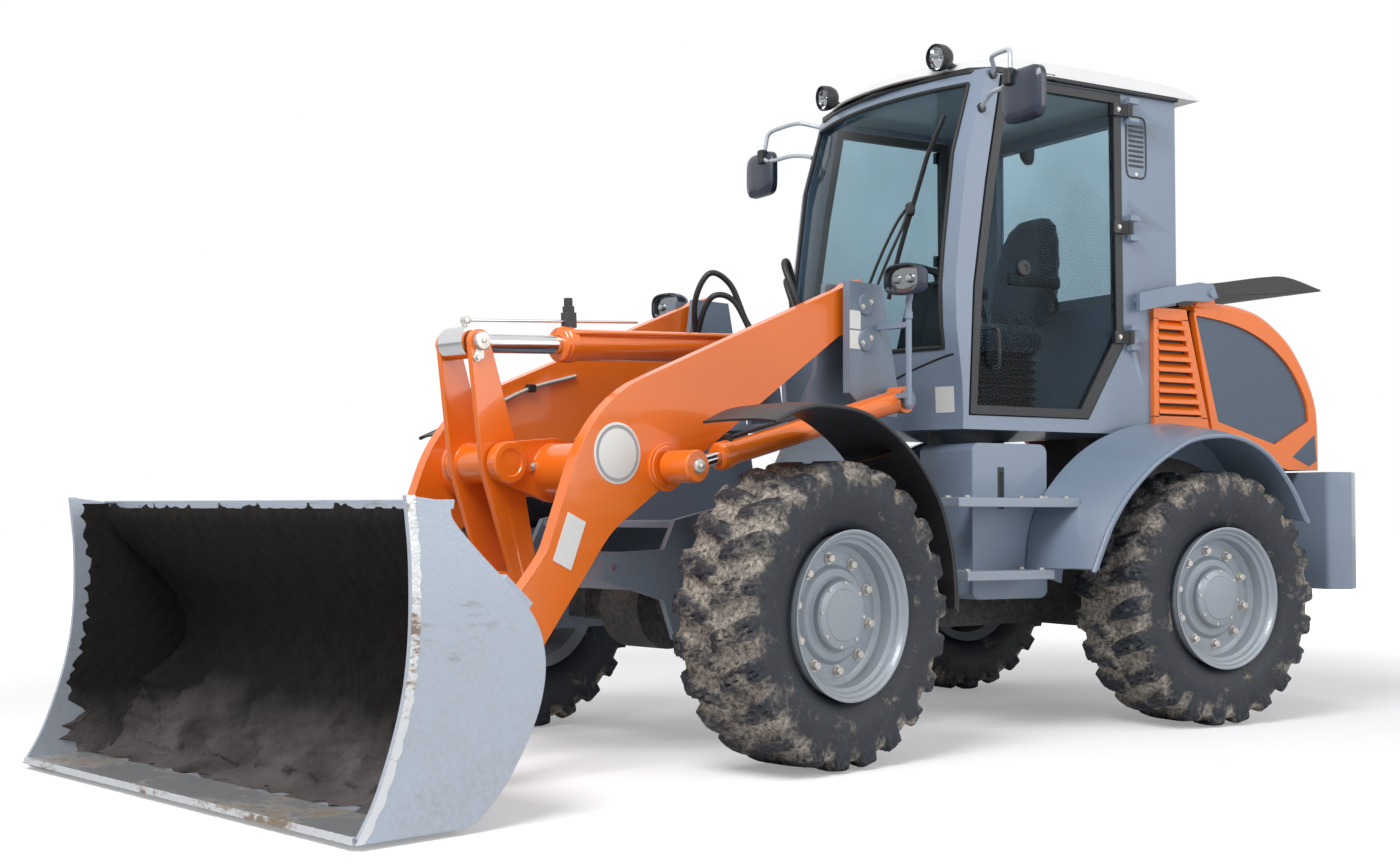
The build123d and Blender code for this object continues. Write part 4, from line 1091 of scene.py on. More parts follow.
# A domed shell over a flat underside: z = base + lift(x) (1 - |s|^8)^0.7 (1 - 0.14 s^2), with s = y / half,
# and each front corner drawn back by 150 nose |s|^2.4.
def makeRoof():
    rows, cols = 70, 56
    profile = smoothPath(roof["side"], rows)
    s = np.linspace(-1, 1, cols)
    nose = smoothStep(profile[:, 0], -620, -118)[:, None]
    half = roof["half"] - 130 * nose * 0.9
    y = s[None, :] * half
    lift = np.clip(profile[:, 1] - 2874, 0, None)[:, None]
    z = 2874 + lift * (1 - np.abs(s[None, :]) ** 8) ** 0.7 * (1 - 0.14 * s[None, :] ** 2)
    x = profile[:, 0][:, None] - nose * 150 * np.abs(s[None, :]) ** 2.4
    top = np.stack([x, y + 0 * x, z], -1)
    bottom = np.stack([x, y + 0 * x, 0 * z + 2872], -1)
    piece = addPiece("roofShell", sheetShell(top, bottom), roofWhite, "rear_frame", "rear",
                     crease=40)
    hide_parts("cab_roof")


makeCabBody()
makeFenders()
makeHood()
makeVents()
makeRoof()
print("body panels made")

# bucket
bucket = {
    "half": 1070, "wall": 14,
    "outside": [(3036, 960), (3024, 905), (2925, 808), (2826, 722), (2745, 645), (2694, 560), (2678, 458),
                (2698, 350),
                (2742, 255), (2790, 178), (2841, 113), (2895, 62), (2960, 22), (3060, 18), (3200, 18),
                (3330, 18)],
    "lip": [(3349, 19), (3276, 150), (3204, 362), (3175, 555), (3175, 782), (3196, 978)],
    "soilDepth": [5, 7, 8, 11, 16, 22, 34, 48, 62, 66, 52, 34, 4],
    "stripWide": 34,
}


# A fixed lumpy value from -1 to 1: sines of a and b at unrelated rates, multiplied and added.
def ripple(a, b, seed):
    return (np.sin(a * 0.0131 + b * 0.0071 + seed) * np.sin(b * 0.0173 - a * 0.0049 + 2 * seed)
            + 0.6 * np.sin(a * 0.041 + seed * 3) * np.sin(b * 0.037 + 1.7 * seed)
            + 0.35 * np.sin(a * 0.113 - b * 0.051) * np.sin(b * 0.097 + a * 0.023 + seed)) / 1.5


# The bucket's smooth outer wall line moved towards its mouth.
def bucketLine(inset, count):
    line = smoothPath(bucket["outside"], count)
    ahead = np.gradient(line, axis=0)
    normal = np.stack([-ahead[:, 1], ahead[:, 0]], -1)
    return line + inset * normal / np.linalg.norm(normal, axis=1, keepdims=True)


# Curved wall sheet between two side plates with the same smooth outline.
def makeBucketShell():
    outer, inner = bucketLine(0, 70), bucketLine(bucket["wall"], 70)
    lip = smoothPath(bucket["lip"], 40)
    half, wall = bucket["half"], bucket["wall"]
    outline = np.vstack([outer, lip[1:]])
    shells = [slabBetween(outer, inner, wall - half, half - wall)]
    for side in (1, -1):
        shells.append(prism(outline, *sorted((side * half, side * (half - wall)))))
    shells.append(prism([(2720, 630), (2822, 720), (2800, 745), (2696, 655)], -1030, 1030))
    shells.append(prism([(2700, 262), (2744, 252), (2706, 330), (2690, 334)], -1030, 1030))
    piece = addPiece("bucketShell", joined(shells), bucketSteel, "bucket", crease=24,
                     bevel=0.0025)
    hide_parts("bucket")


# Soil on the inner wall: wall line + depth(u) (1 + ripple) along its normal, with a ragged front edge.
def makeBucketSoil():
    rows, cols = 110, 170
    line = bucketLine(bucket["wall"] - 1, rows + 12)[:rows]
    depth = np.interp(np.linspace(0, 1, rows), np.linspace(0, 1, len(bucket["soilDepth"])),
                      bucket["soilDepth"])
    ahead = np.gradient(line, axis=0)
    normal = np.stack([-ahead[:, 1], ahead[:, 0]], -1)
    normal /= np.linalg.norm(normal, axis=1, keepdims=True)
    y = np.linspace(-bucket["half"] + bucket["wall"], bucket["half"] - bucket["wall"], cols)
    x, z = line[:, 0][:, None] + 0 * y, line[:, 1][:, None] + 0 * y
    along = np.cumsum(np.linalg.norm(ahead, axis=1))[:, None]
    corner = 1 + 0.9 * smoothStep(np.abs(y), 880, 1056)
    lump = depth[:, None] * (1 + 0.55 * ripple(along, y + 0 * along, 0.7)) * corner
    lump = np.maximum(lump + 4 * ripple(along * 3.1, y * 3.3 + 0 * along, 2.1), 1.0)
    front = smoothStep(np.linspace(0, 1, rows), 0.86, 1.0)[:,
                                                           None] * (55 + 75 * ripple(0 * along,
                                                               y * 1.4 + 0 * along, 4.4))
    top = np.stack([x + lump * normal[:, :1] - front, 0 * x + y, np.maximum(z + lump * normal[:, 1:], 30)],
                   -1)
    bottom = np.stack([x - 5 * normal[:, :1] - front, 0 * x + y, z - 5 * normal[:, 1:]], -1)
    addPiece("bucketSoil", sheetShell(top, bottom), soil, "bucket", crease=80)
    shells = []
    for side in (1, -1):
        rows, cols = 60, 60
        z = np.linspace(32, 955, rows)
        wall = bucketLine(8, 90)
        back = np.interp(z, wall[:73, 1][::-1], wall[:73, 0][::-1])
        lip = np.array(bucket["lip"])
        ragged = 48 + 26 * ripple(z * 2.2, z * 3.1, 1.1 * side) + 90 * smoothStep(z, 340,
            80) * (1 + ripple(z * 3, z, 2))
        edge = np.maximum(np.interp(z, lip[:, 1], lip[:, 0]) - ragged, back + 12)
        share = np.linspace(0, 1, cols)[None, :]
        x = back[:, None] * (1 - share) + edge[:, None] * share
        zz = z[:, None] + 0 * share
        film = (3.5 + 9 * smoothStep(zz, 420, 0) + 3 * ripple(x * 2, zz * 2, 3.3)) * smoothStep(share, 1.0,
            0.93)
        film = np.maximum(film, 0.8)
        wall = side * (bucket["half"] - bucket["wall"])
        shells.append(sheetShell(np.stack([x, wall - side * film, zz], -1),
                                 np.stack([x, wall + side * 2 + 0 * x, zz], -1)))
    addPiece("bucketSideSoil", joined(shells), soil, "bucket", crease=80)


# Wear strips down both side plates' front edges and the bolted blade along the floor.
def makeBucketEdges():
    lip = smoothPath(bucket["lip"], 40)
    inner = lip + np.array([-1.0, 0]) * bucket["stripWide"] + np.stack([4 * np.sin(lip[:, 1] * 0.09),
        0 * lip[:, 0]], -1)
    lip = lip + np.array([-2.5, 0.0])
    shells = []
    for side in (1, -1):
        low, high = sorted((side * (bucket["half"] - 1), side * (bucket["half"] + 1.5)))
        shells.append(slabBetween(lip, inner, low, high))
    addPiece("bucketWearStrips", joined(shells), wornEdge, "bucket", bevel=0.0008)
    y = np.linspace(-1055, 1055, 220)
    nick = 3350 - 5 * np.abs(ripple(y * 2.3, y * 4.1, 1.9))
    outline = np.vstack([np.stack([nick, y], -1), [[3120, 1055], [3120, -1055]]])
    addPiece("bucketBlade", prism(outline, 18.5, 42, "xy"), wornEdge, "bucket", bevel=0.0015)
    rail = prism([(3024, 938), (3054, 938), (3058, 966), (3020, 966)], -1068, 1068)
    addPiece("bucketTopRail", rail, bucketSteel, "bucket", bevel=0.003)


makeBucketShell()
makeBucketSoil()
makeBucketEdges()
print("bucket finished")

# lift arms and linkage
arms = {"discPlace": (1861, 1142), "discRadius": 112,
        "signPlate": [(2092, 930), (2009, 894), (2077, 724), (2159, 761)], "eye": (1620, 1098)}
linkage = {"top": (2200, 1549), "base": (540, 1640), "crank": (2098, 1109), "low": (1966, 648),
           "hook": (2563, 561),
           "liftBase": (400, 1398), "liftY": 600, "tiltMouth": 455, "liftMouth": 150}


# A point on the line from start to end (x, z pairs), and the line's direction.
def between(start, end, y, distance=None, back=None):
    start, end = np.array([start[0], y, start[1]], float), np.array([end[0], y, end[1]], float)
    length = np.linalg.norm(end - start)
    way = (end - start) / length
    reach = length - back if distance is None else distance
    return start + way * reach, way


def makeArmDetails():
    x, z = arms["discPlace"]
    r = arms["discRadius"]
    addPiece("armDisc", lathe([(r, -1), (r, 1.4), (r - 1, 1.8), (1, 1.8)], (x, 475, z), (0, 1, 0), 72),
             plateWhite,
             "boom")
    addPiece("armDiscRing", lathe([(r - 9, 1), (r - 9, 2.5), (r - 21, 2.5), (r - 21, 1)], (x, 475, z),
                                  (0, 1, 0), 72, True),
             ringGrey, "boom")
    addPiece("armPlate", prism(arms["signPlate"], 474, 477, "xz"), plateWhite, "boom",
             bevel=0.0009)
    pads, pins, bolts, ties = [], [], [], []
    for side in (1, -1):
        pads.append(lathe([(92, 474), (92, 481), (88, 484), (78, 484), (74, 488), (60, 488)],
                          (arms["eye"][0], 0, arms["eye"][1]), (0, side, 0), 56, False))
        pads.append(lathe([(56, 500), (60, 506), (60, 640), (55, 646), (20, 646)],
                          (arms["eye"][0], 0, arms["eye"][1]),
                          (0, side, 0), 48))
        pins.append(lathe([(27, 640), (27, 656), (23, 660), (1, 661)], (arms["eye"][0], 0, arms["eye"][1]),
                          (0, side, 0), 36))
        bolts.append(boltHeads([(arms["eye"][0], side * 660, arms["eye"][1])], (0, side, 0), 12, 9))
    for side in (1, -1):
        pins.append(lathe([(34, 100), (34, 124), (30, 128), (12, 129), (1, 129)],
                          (linkage["top"][0], 0, linkage["top"][1]),
                          (0, side, 0), 40))
        ties.append(prism([(linkage["top"][0] - 16, linkage["top"][1] - 62),
                           (linkage["top"][0] + 22, linkage["top"][1] - 78),
                           (linkage["top"][0] + 34, linkage["top"][1] - 64),
                           (linkage["top"][0] + 14, linkage["top"][1] - 18),
                           (linkage["top"][0] - 14, linkage["top"][1] - 18)],
                          *sorted((side * 105, side * 111))))
        bolts.append(boltHeads([(linkage["top"][0] + 14, side * 111, linkage["top"][1] - 62)], (0, side, 0),
                               9, 9))
        bolts.append(boltHeads([(linkage["top"][0], side * 128, linkage["top"][1])], (0, side, 0), 9, 6))
    addPiece("liftEyeCollars", joined(pads), orangePaint, "boom")
    addPiece("liftEyePins", joined(pins[:2]), boltZinc, "boom")
    addPiece("leverTopPins", joined(pins[2:]), boltZinc, "bellcrank")
    addPiece("leverTopTies", joined(ties), boltZinc, "bellcrank", bevel=0.0015)
    addPiece("armBolts", joined(bolts[:2]), boltZinc, "boom")
    addPiece("leverBolts", joined(bolts[2:]), boltZinc, "bellcrank")
    x, z = linkage["crank"]
    pads, bolts = [], []
    for side in (1, -1):
        pads.append(lathe([(78, 140), (78, 158), (72, 163), (52, 163), (48, 158), (30, 158), (1, 158)],
                          (x, 0, z),
                          (0, side, 0), 56))
        pads.append(prism([(x - 150, z - 20), (x - 60, z - 40), (x - 46, z - 4), (x - 60, z + 34),
                           (x - 150, z - 2)],
                          *sorted((side * 141, side * 149))))
        bolts.append(boltHeads([(x - 118, side * 149, z - 12)], (0, side, 0), 12, 11))
    addPiece("leverHubCaps", joined(pads), orangePaint, "boom", bevel=0.0)
    addPiece("leverHubBolts", joined(bolts), boltZinc, "boom")


# Gland rings at the barrels' mouths, wiper bands on the rods, pipes along the barrels, the level rod and its
# guide.
def makeCylinderDetails():
    length = math.dist(linkage["base"], linkage["top"])
    mouth, way = between(linkage["base"], linkage["top"], 0, distance=length - linkage["tiltMouth"])
    up = np.array([-way[2], 0, way[0]])
    glands = [lathe([(66, -62), (71, -58), (71, -22), (67, -18), (67, -4), (63, 0), (39, 3), (37.2, 3),
                     (37.2, -60)], mouth, way,
                    56)]
    foot, _ = between(linkage["base"], linkage["top"], 0, distance=118)
    glands.append(lathe([(63, -8), (67, -4), (67, 10), (63, 14)], foot, way, 48, False))
    addPiece("tiltGland", joined(glands), orangePaint, "tilt_barrel")
    pipe = [foot + up * 36 + np.array([0, 56, 0]) + way * 60,
            foot + up * 44 + np.array([0, 58, 0]) + way * 120,
            mouth + up * 44 + np.array([0, 58, 0]) - way * 120,
            mouth + up * 40 + np.array([0, 40, 0]) - way * 60]
    addPiece("tiltPipe", tube(smoothPath(pipe, 30), 8, 12, (0, 1, 0.2)), orangePaint, "tilt_barrel")
    block = mouth + up * 96 - way * 60
    half = 18
    stack = []
    for level, wide, high in ((20, 26, 60), (60, 20, 30), (90, 15, 34)):
        centre = block + up * (level - 20)
        outline = np.array([(-wide, -high / 2), (wide, -high / 2), (wide, high / 2), (-wide, high / 2)],
                           float)
        corners = centre[None, [0, 2]] + outline[:, :1] * way[None, [0, 2]] + outline[:, 1:] * up[None,
            [0, 2]]
        stack.append(prism(corners, -half * wide / 26, half * wide / 26))
    addPiece("levelGuide", joined(stack), darkSteel, "tilt_barrel", bevel=0.003)
    start = between(linkage["base"], linkage["top"], 0, back=10)[0] + up * 84
    end = mouth + up * 97 - way * 420
    addPiece("levelRod", tube(np.linspace(start, end, 14), 6, 12, (0, 1, 0)), chromeRod, "tilt_rod")
    clamp = [lathe([(14, -14), (14, 14), (9, 16), (5, 16)], start + way * -6, (0, 1, 0), 24),
             tube(np.linspace(start, start - up * 40, 5), 9, 12, (0, 1, 0))]
    addPiece("levelRodEye", joined(clamp), boltZinc, "tilt_rod")
    shells, bands, necks = [], [], []
    for side in (1, -1):
        y = side * linkage["liftY"]
        liftLength = math.dist(linkage["liftBase"], arms["eye"])
        mouth, way = between(linkage["liftBase"], arms["eye"], y, distance=liftLength - linkage["liftMouth"])
        shells.append(lathe([(50, -58), (54, -54), (54, -14), (50, -8), (47, 0), (27, 3), (26.2, 3),
                             (26.2, -50)], mouth, way,
                            48))
        up = np.array([-way[2], 0, way[0]])
        pipe = [mouth - way * 640 + up * 46, mouth - way * 600 + up * 58, mouth - way * 110 + up * 58,
                mouth - way * 70 + up * 44]
        necks.append(tube(smoothPath(pipe, 26), 8, 12, (0, 1, 0)))
        bands.append(tube(np.linspace(mouth - way * 70 + up * 30, mouth - way * 70 + up * 74, 5), 15, 16,
                          (0, 1, 0)))
    addPiece("liftGlands", joined(shells), orangePaint, "lift_barrels")
    addPiece("liftPipes", joined(necks), blackPlastic, "lift_barrels")
    addPiece("liftPorts", joined(bands), blackPlastic, "lift_barrels")
    grease = []
    for x, z, y in ((*linkage["low"], 118), (*linkage["hook"], 62)):
        for side in (1, -1):
            grease.append(lathe([(34, -8), (34, 4), (30, 8), (1, 8)], (x, side * y, z), (0, side, 0), 36))
    addPiece("linkPins", joined(grease[:2]), boltZinc, "bellcrank")
    addPiece("hookPins", joined(grease[2:]), boltZinc, "bucket")
    line = smoothPath([(1300, -418, 1500), (1560, -414, 1430), (1760, -414, 1330), (1900, -414, 1180),
                       (1950, -412, 1040)], 40)
    addPiece("armPipe", tube(line, 9, 12, (0, 1, 0)), boltZinc, "boom")
    clips = []
    for share in (9, 22, 33):
        centre = line[share]
        clips.append(prism([(centre[0] - 20, centre[2] - 16), (centre[0] + 20, centre[2] - 16),
                            (centre[0] + 20, centre[2] + 16),
                            (centre[0] - 20, centre[2] + 16)], -426, -400))
    addPiece("armPipeClips", joined(clips), blackPlastic, "boom", bevel=0.004)


makeArmDetails()
makeCylinderDetails()
print("arms and linkage finished")

# cab
cab = {
    "screen": [(570, 2808), (570, 1642), (-570, 1642), (-570, 2808), (570, 2808)],
    "roofFront": [(-640, 660), (-330, 640), (-232, 560), (-165, 324), (-122, 0), (-165, -324), (-232, -560),
                  (-330, -640),
                  (-640, -660)],
    "hingeLevels": (1730, 2234, 2775), "lamp": (-165, 440, 2946),
}


# The cab's bowed front: the corner's x at that height plus the arc's rise at that y.
def frontX(y, z):
    return lineAt("front", z) + bow(y)


# Points (y, z) laid on the bowed front, out mm proud of it.
def onFront(points, out):
    points = np.asarray(points, float)
    return np.stack([frontX(points[:, 0], points[:, 1]) + out, points[:, 0], points[:, 1]], -1)


# A polyline with points every few millimetres along it.
def straight(corners, step=30):
    corners = np.asarray(corners, float)
    counts = np.maximum(2, (np.linalg.norm(np.diff(corners, axis=0), axis=1) / step).astype(int))
    return np.concatenate([np.linspace(a, b, n, endpoint=False) for a, b,
                           n in zip(corners[:-1], corners[1:], counts)]
                          + [corners[-1:]])


# A rounded rectangle: |u|^p + |v|^p = 1, walked by angle.
def superRing(wide, high, power=4.0, count=56):
    angle = np.linspace(0, 2 * np.pi, count, endpoint=False)
    c, s = np.cos(angle), np.sin(angle)
    return np.stack([wide * np.sign(c) * np.abs(c) ** (2 / power),
                     high * np.sign(s) * np.abs(s) ** (2 / power)], -1)


# Rounded-rectangle rings, one for each (distance, half width, half height), along an axis.
def loft(levels, centre, axis="x", power=4.0, sign=1):
    rings = []
    for distance, wide, high in levels:
        ring = superRing(wide, high, power)
        if axis == "x":
            rings.append(np.stack([0 * ring[:, 0] + sign * distance, ring[:, 0], ring[:, 1]], -1))
        elif axis == "y":
            rings.append(np.stack([ring[:, 0], 0 * ring[:, 0] + sign * distance, ring[:, 1]], -1))
        else:
            rings.append(np.stack([ring[:, 0], ring[:, 1], 0 * ring[:, 0] + sign * distance], -1))
    return shell(np.stack(rings) + np.asarray(centre, float))


# Seal round the screen, the pressed crease under it drawn as a near-black line of painted shade, blank labels and
# the wiper.
def makeFrontPanels():
    seal = onFront(straight(cab["screen"], 24), 0)
    addPiece("screenSeal", tube(seal, 10, 10, (1, 0.02, 0.01)), sealRubber, "rear_frame",
             "rear")
    # Painted shade: the pressed crease is a near-black rubber line laid on the panel.
    crease = onFront(smoothPath([(612, 1612), (560, 1600), (430, 1562), (300, 1520), (184, 1490), (0, 1474),
                                 (-184, 1490),
                                 (-430, 1562), (-612, 1612)], 70), -1.5)
    addPiece("frontCrease", tube(crease, 5, 10, (1, 0.02, 0.01)), sealRubber, "rear_frame",
             "rear")
    y, z = np.meshgrid(np.linspace(512, 600, 9), np.linspace(1362, 1474, 5))
    flat = np.stack([y.ravel(), z.ravel()], -1)
    top, bottom = (onFront(flat, out).reshape(5, 9, 3) for out in (1.6, -2))
    addPiece("frontLabel", sheetShell(top, bottom), plateWhite, "rear_frame", "rear", crease=40)
    blade = onFront(smoothPath([(496, 2674), (440, 2420), (372, 2140), (310, 1871)], 40), 12)
    parts = [tube(blade, 7, 8, (1, 0, 0.01), 1.6),
             tube(blade[3:-3] + np.array([9, 0, 0]), 5, 8, (1, 0, 0.01))]
    addPiece("wiperBlade", joined(parts), sealRubber, "rear_frame", "rear")
    arms = []
    for shift in (0, 62):
        arms.append(tube(onFront(smoothPath([(150 + shift, 1752), (205 + shift * 0.9, 1930),
                                             (330 + shift * 0.8, 2180),
                                             (388 + shift * 0.2, 2260)], 24), 34), 7, 10, (1, 0, 0.01)))
    arms.append(loft([(14, 22, 30), (30, 22, 30), (40, 16, 24)], onFront([(404, 2262)], 0)[0], "x", 3))
    arms.append(loft([(-6, 66, 34), (22, 66, 34), (32, 58, 26)], onFront([(182, 1748)], 0)[0], "x", 3.2))
    addPiece("wiperArms", joined(arms), blackPlastic, "rear_frame", "rear")


# Black visor strip under the roof's front and sides, lamps at its corners, a lamp under its rear.
def makeRoofTrim():
    edge = straight(cab["roofFront"], 40)
    centre = np.array([-640, 0.0])
    inward = centre - edge
    inward /= np.linalg.norm(inward, axis=1, keepdims=True)
    outer, inner = edge - 7 * inward, edge + 46 * inward
    ring = np.stack([np.stack([p[:, 0], p[:, 1], 0 * p[:, 0] + level], -1) for p, level in
                     ((outer, 2858), (outer, 2884), (inner, 2880), (inner, 2852))], axis=1)
    addPiece("roofVisor", shell(ring), blackPlastic, "rear_frame", "rear", bevel=0.004)
    rails = [loft([(0, 4 + 9 * min(1, k), 12) for k in (0.2, 1)] + [(760, 13, 12), (766, 9, 8)],
                  (-640, side * 650, 2866), "x",
                  3, -1) for side in (1, -1)]
    addPiece("roofSideTrim", joined(rails), blackPlastic, "rear_frame", "rear")
    shells, glass, mirror, stays = [], [], [], []
    for side in (1, -1):
        x, y, z = cab["lamp"]
        centre = np.array([x, side * y, z])
        way = np.array([1, side * 0.12, -0.15])
        way /= np.linalg.norm(way)
        shells.append(lathe([(1, -58), (26, -56), (44, -44), (56, -22), (60, 0), (61, 24), (58, 28),
                             (54, 27), (53, 12),
                             (40, -18), (1, -20)], centre, way, 56))
        mirror.append(lathe([(52, 14), (44, -4), (26, -14), (1, -16), (1, -18), (28, -17), (47, -6),
                             (53.5, 13)], centre, way, 48,
                            True))
        mirror.append(lathe([(9, -16), (10, -4), (6, 2), (1, 3)], centre, way, 20))
        glass.append(lathe([(53.5, 15), (52, 20), (36, 27), (18, 30), (1, 31), (1, 28), (18, 27), (36, 24),
                            (51, 17)], centre,
                           way, 48, True))
        stays.append(tube(smoothPath([centre + (-40, 0, -8), centre + (-66, -side * 4, -28),
                                      centre + (-92, -side * 8, -34)],
                                     10), 17, 14, (0, 1, 0)))
    addPiece("roofLampShells", joined(shells + stays), blackPlastic, "rear_frame", "rear")
    addPiece("roofLampMirrors", joined(mirror), mirrorFace, "rear_frame", "rear")
    lens = addPiece("roofLampLenses", joined(glass), lensGlass, "rear_frame", "rear")
    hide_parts("roof_lamps")
    rear = [loft([(0, 22, 70), (30, 34, 96), (52, 34, 96), (60, 28, 90)], (-1400, y, 2846), "x", 3.4, -1)
            for y in (430, -430)]
    addPiece("rearWorkLamps", joined(rear), blackPlastic, "rear_frame", "rear")
    faces = [loft([(0, 24, 84), (8, 22, 80)], (-1458, y, 2846), "x", 3.4, -1) for y in (430, -430)]
    addPiece("rearWorkLenses", joined(faces), lensGlass, "rear_frame", "rear")


# Rounded heads with a silvered face to the rear, on looped round arms.
def makeMirrors():
    heads, faces, arms, knobs = [], [], [], []
    for side in (1, -1):
        centre = np.array([-150, side * 1008, 2662.0])
        heads.append(loft([(-24, 112, 102), (-22, 121, 111), (-16, 123, 113), (6, 121, 111), (20, 108, 98),
                           (27, 80, 72),
                           (29, 40, 36)], centre, "x", 5))
        faces.append(loft([(-26.5, 108, 98), (-24, 110, 100), (-20, 110, 100)], centre, "x", 5))
        upper = [(-300, side * 636, 2846), (-262, side * 690, 2868), (-205, side * 750, 2886),
                 (-172, side * 870, 2880),
                 (-148, side * 930, 2860), (-138, side * 945, 2800), (-132, side * 953, 2740)]
        lower = [(-236, side * 636, 2690), (-215, side * 700, 2712), (-180, side * 780, 2722),
                 (-150, side * 880, 2716),
                 (-128, side * 930, 2722), (-122, side * 953, 2752)]
        arms += [tube(smoothPath(upper, 60), 10.5, 14, (1, 0.1, 0.1)),
                 tube(smoothPath(lower, 44), 10.5, 14, (1, 0.1, 0.1))]
        knobs.append(loft([(-34, 20, 20), (-30, 24, 24), (30, 24, 24), (36, 18, 18)],
                          (-124, side * 955, 2742), "z", 3))
        knobs.append(lathe([(20, -8), (22, -4), (22, 10), (16, 14), (1, 14)], (-300, side * 636, 2846),
                           (0, side, 0), 20))
        knobs.append(lathe([(20, -8), (22, -4), (22, 10), (16, 14), (1, 14)], (-236, side * 636, 2690),
                           (0, side, 0), 20))
    addPiece("mirrorHeads", joined(heads), mirrorShell, "rear_frame", "rear")
    addPiece("mirrorGlass", joined(faces), mirrorFace, "rear_frame", "rear")
    arm = addPiece("mirrorArms", joined(arms), tubeGrey, "rear_frame", "rear")
    addPiece("mirrorKnobs", joined(knobs), blackPlastic, "rear_frame", "rear")
    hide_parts("mirrors")


# Hinge bolts, a round lock and a pull on the glass, and the pillar grilles' screws.
def makeDoorDetails():
    for side, name in ((1, "left"), (-1, "right")):
        y = side * 662
        bolts = [(-1022, y, level) for level in cab["hingeLevels"]]
        addPiece("hingeBolts" + name.title(), boltHeads(bolts, (0, side, 0), 8, 7, 1.4), boltZinc,
                 "door_" + name,
                 "rear")
        knob = [lathe([(34, -9), (36, -4), (36, 8), (30, 13), (16, 14), (14, 9), (1, 9)],
                      (-470, side * 637, 2006),
                      (0, side, 0), 40)]
        pull = np.array([(-300, 0, 1560), (-296, 34, 1565), (-294, 40, 1600), (-292, 40, 1690),
                         (-290, 34, 1722),
                         (-288, 0, 1728)], float)
        pull[:, 1] = side * (642 + pull[:, 1])
        knob.append(tube(smoothPath(pull, 30), 8, 12, (1, 0, 0.01)))
        addPiece("doorPull" + name.title(), joined(knob), blackPlastic, "door_" + name,
                 "rear")
    screws = [(-1150, 640 * side, z) for side in (1, -1) for z in (2490, 2744)]
    heads = joined([lathe([(11, -1), (11, 2), (7, 5), (1, 5.5)], (x, y, z), (0, math.copysign(1, y), 0), 16)
                    for x, y, z in screws])
    addPiece("grilleScrews", heads, boltZinc, "rear_frame", "rear")
    frames = []
    for side in (1, -1):
        ring = superRing(62, 142, 6, 60)
        path = np.stack([ring[:, 0] - 1150, 0 * ring[:, 0] + side * 640, ring[:, 1] + 2616], -1)
        frames.append(tube(np.vstack([path, path[:1]]), 5, 8, (0, 1, 0)))
        for k in range(9):
            z = 2524 + 23 * k
            frames.append(prism([(-1196, z), (-1104, z), (-1104, z + 11), (-1196, z + 11)],
                                *sorted((side * 638, side * 643))))
    addPiece("grilleFrames", joined(frames), darkSteel, "rear_frame", "rear", bevel=0.0015)


seatPad = {"pressure": 4.0, "frames": 20, "voxel": 0.006, "cap": 0.016}


def padForm(levels, centre, axis):
    return loft(levels, centre, axis, 3.2)


# Cloth under pressure rounds the pad; each point moves no further than the cap.
def swell(piece):
    remesh = piece.modifiers.new("even", "REMESH")
    remesh.mode = "VOXEL"
    remesh.voxel_size = seatPad["voxel"]
    settle(piece)
    start = readPoints(piece.data)
    cloth = piece.modifiers.new("pad", "CLOTH")
    cloth.settings.use_pressure = True
    cloth.settings.uniform_pressure_force = seatPad["pressure"]
    cloth.settings.effector_weights.gravity = 0
    for step in range(1, seatPad["frames"] + 1):
        scene.frame_set(step)
    settle(piece)
    scene.frame_set(1)
    moved = readPoints(piece.data) - start
    length = np.linalg.norm(moved, axis=1, keepdims=True)
    moved *= np.minimum(1, seatPad["cap"] / np.maximum(length, 1e-9))
    piece.data.vertices.foreach_set("co", (start + moved).astype(np.float32).ravel())
    piece.data.update()


# Applies the modifiers to the piece's mesh.
def settle(piece):
    graph = bpy.context.evaluated_depsgraph_get()
    graph.update()
    mesh = bpy.data.meshes.new_from_object(piece.evaluated_get(graph))
    piece.modifiers.clear()
    piece.data = mesh


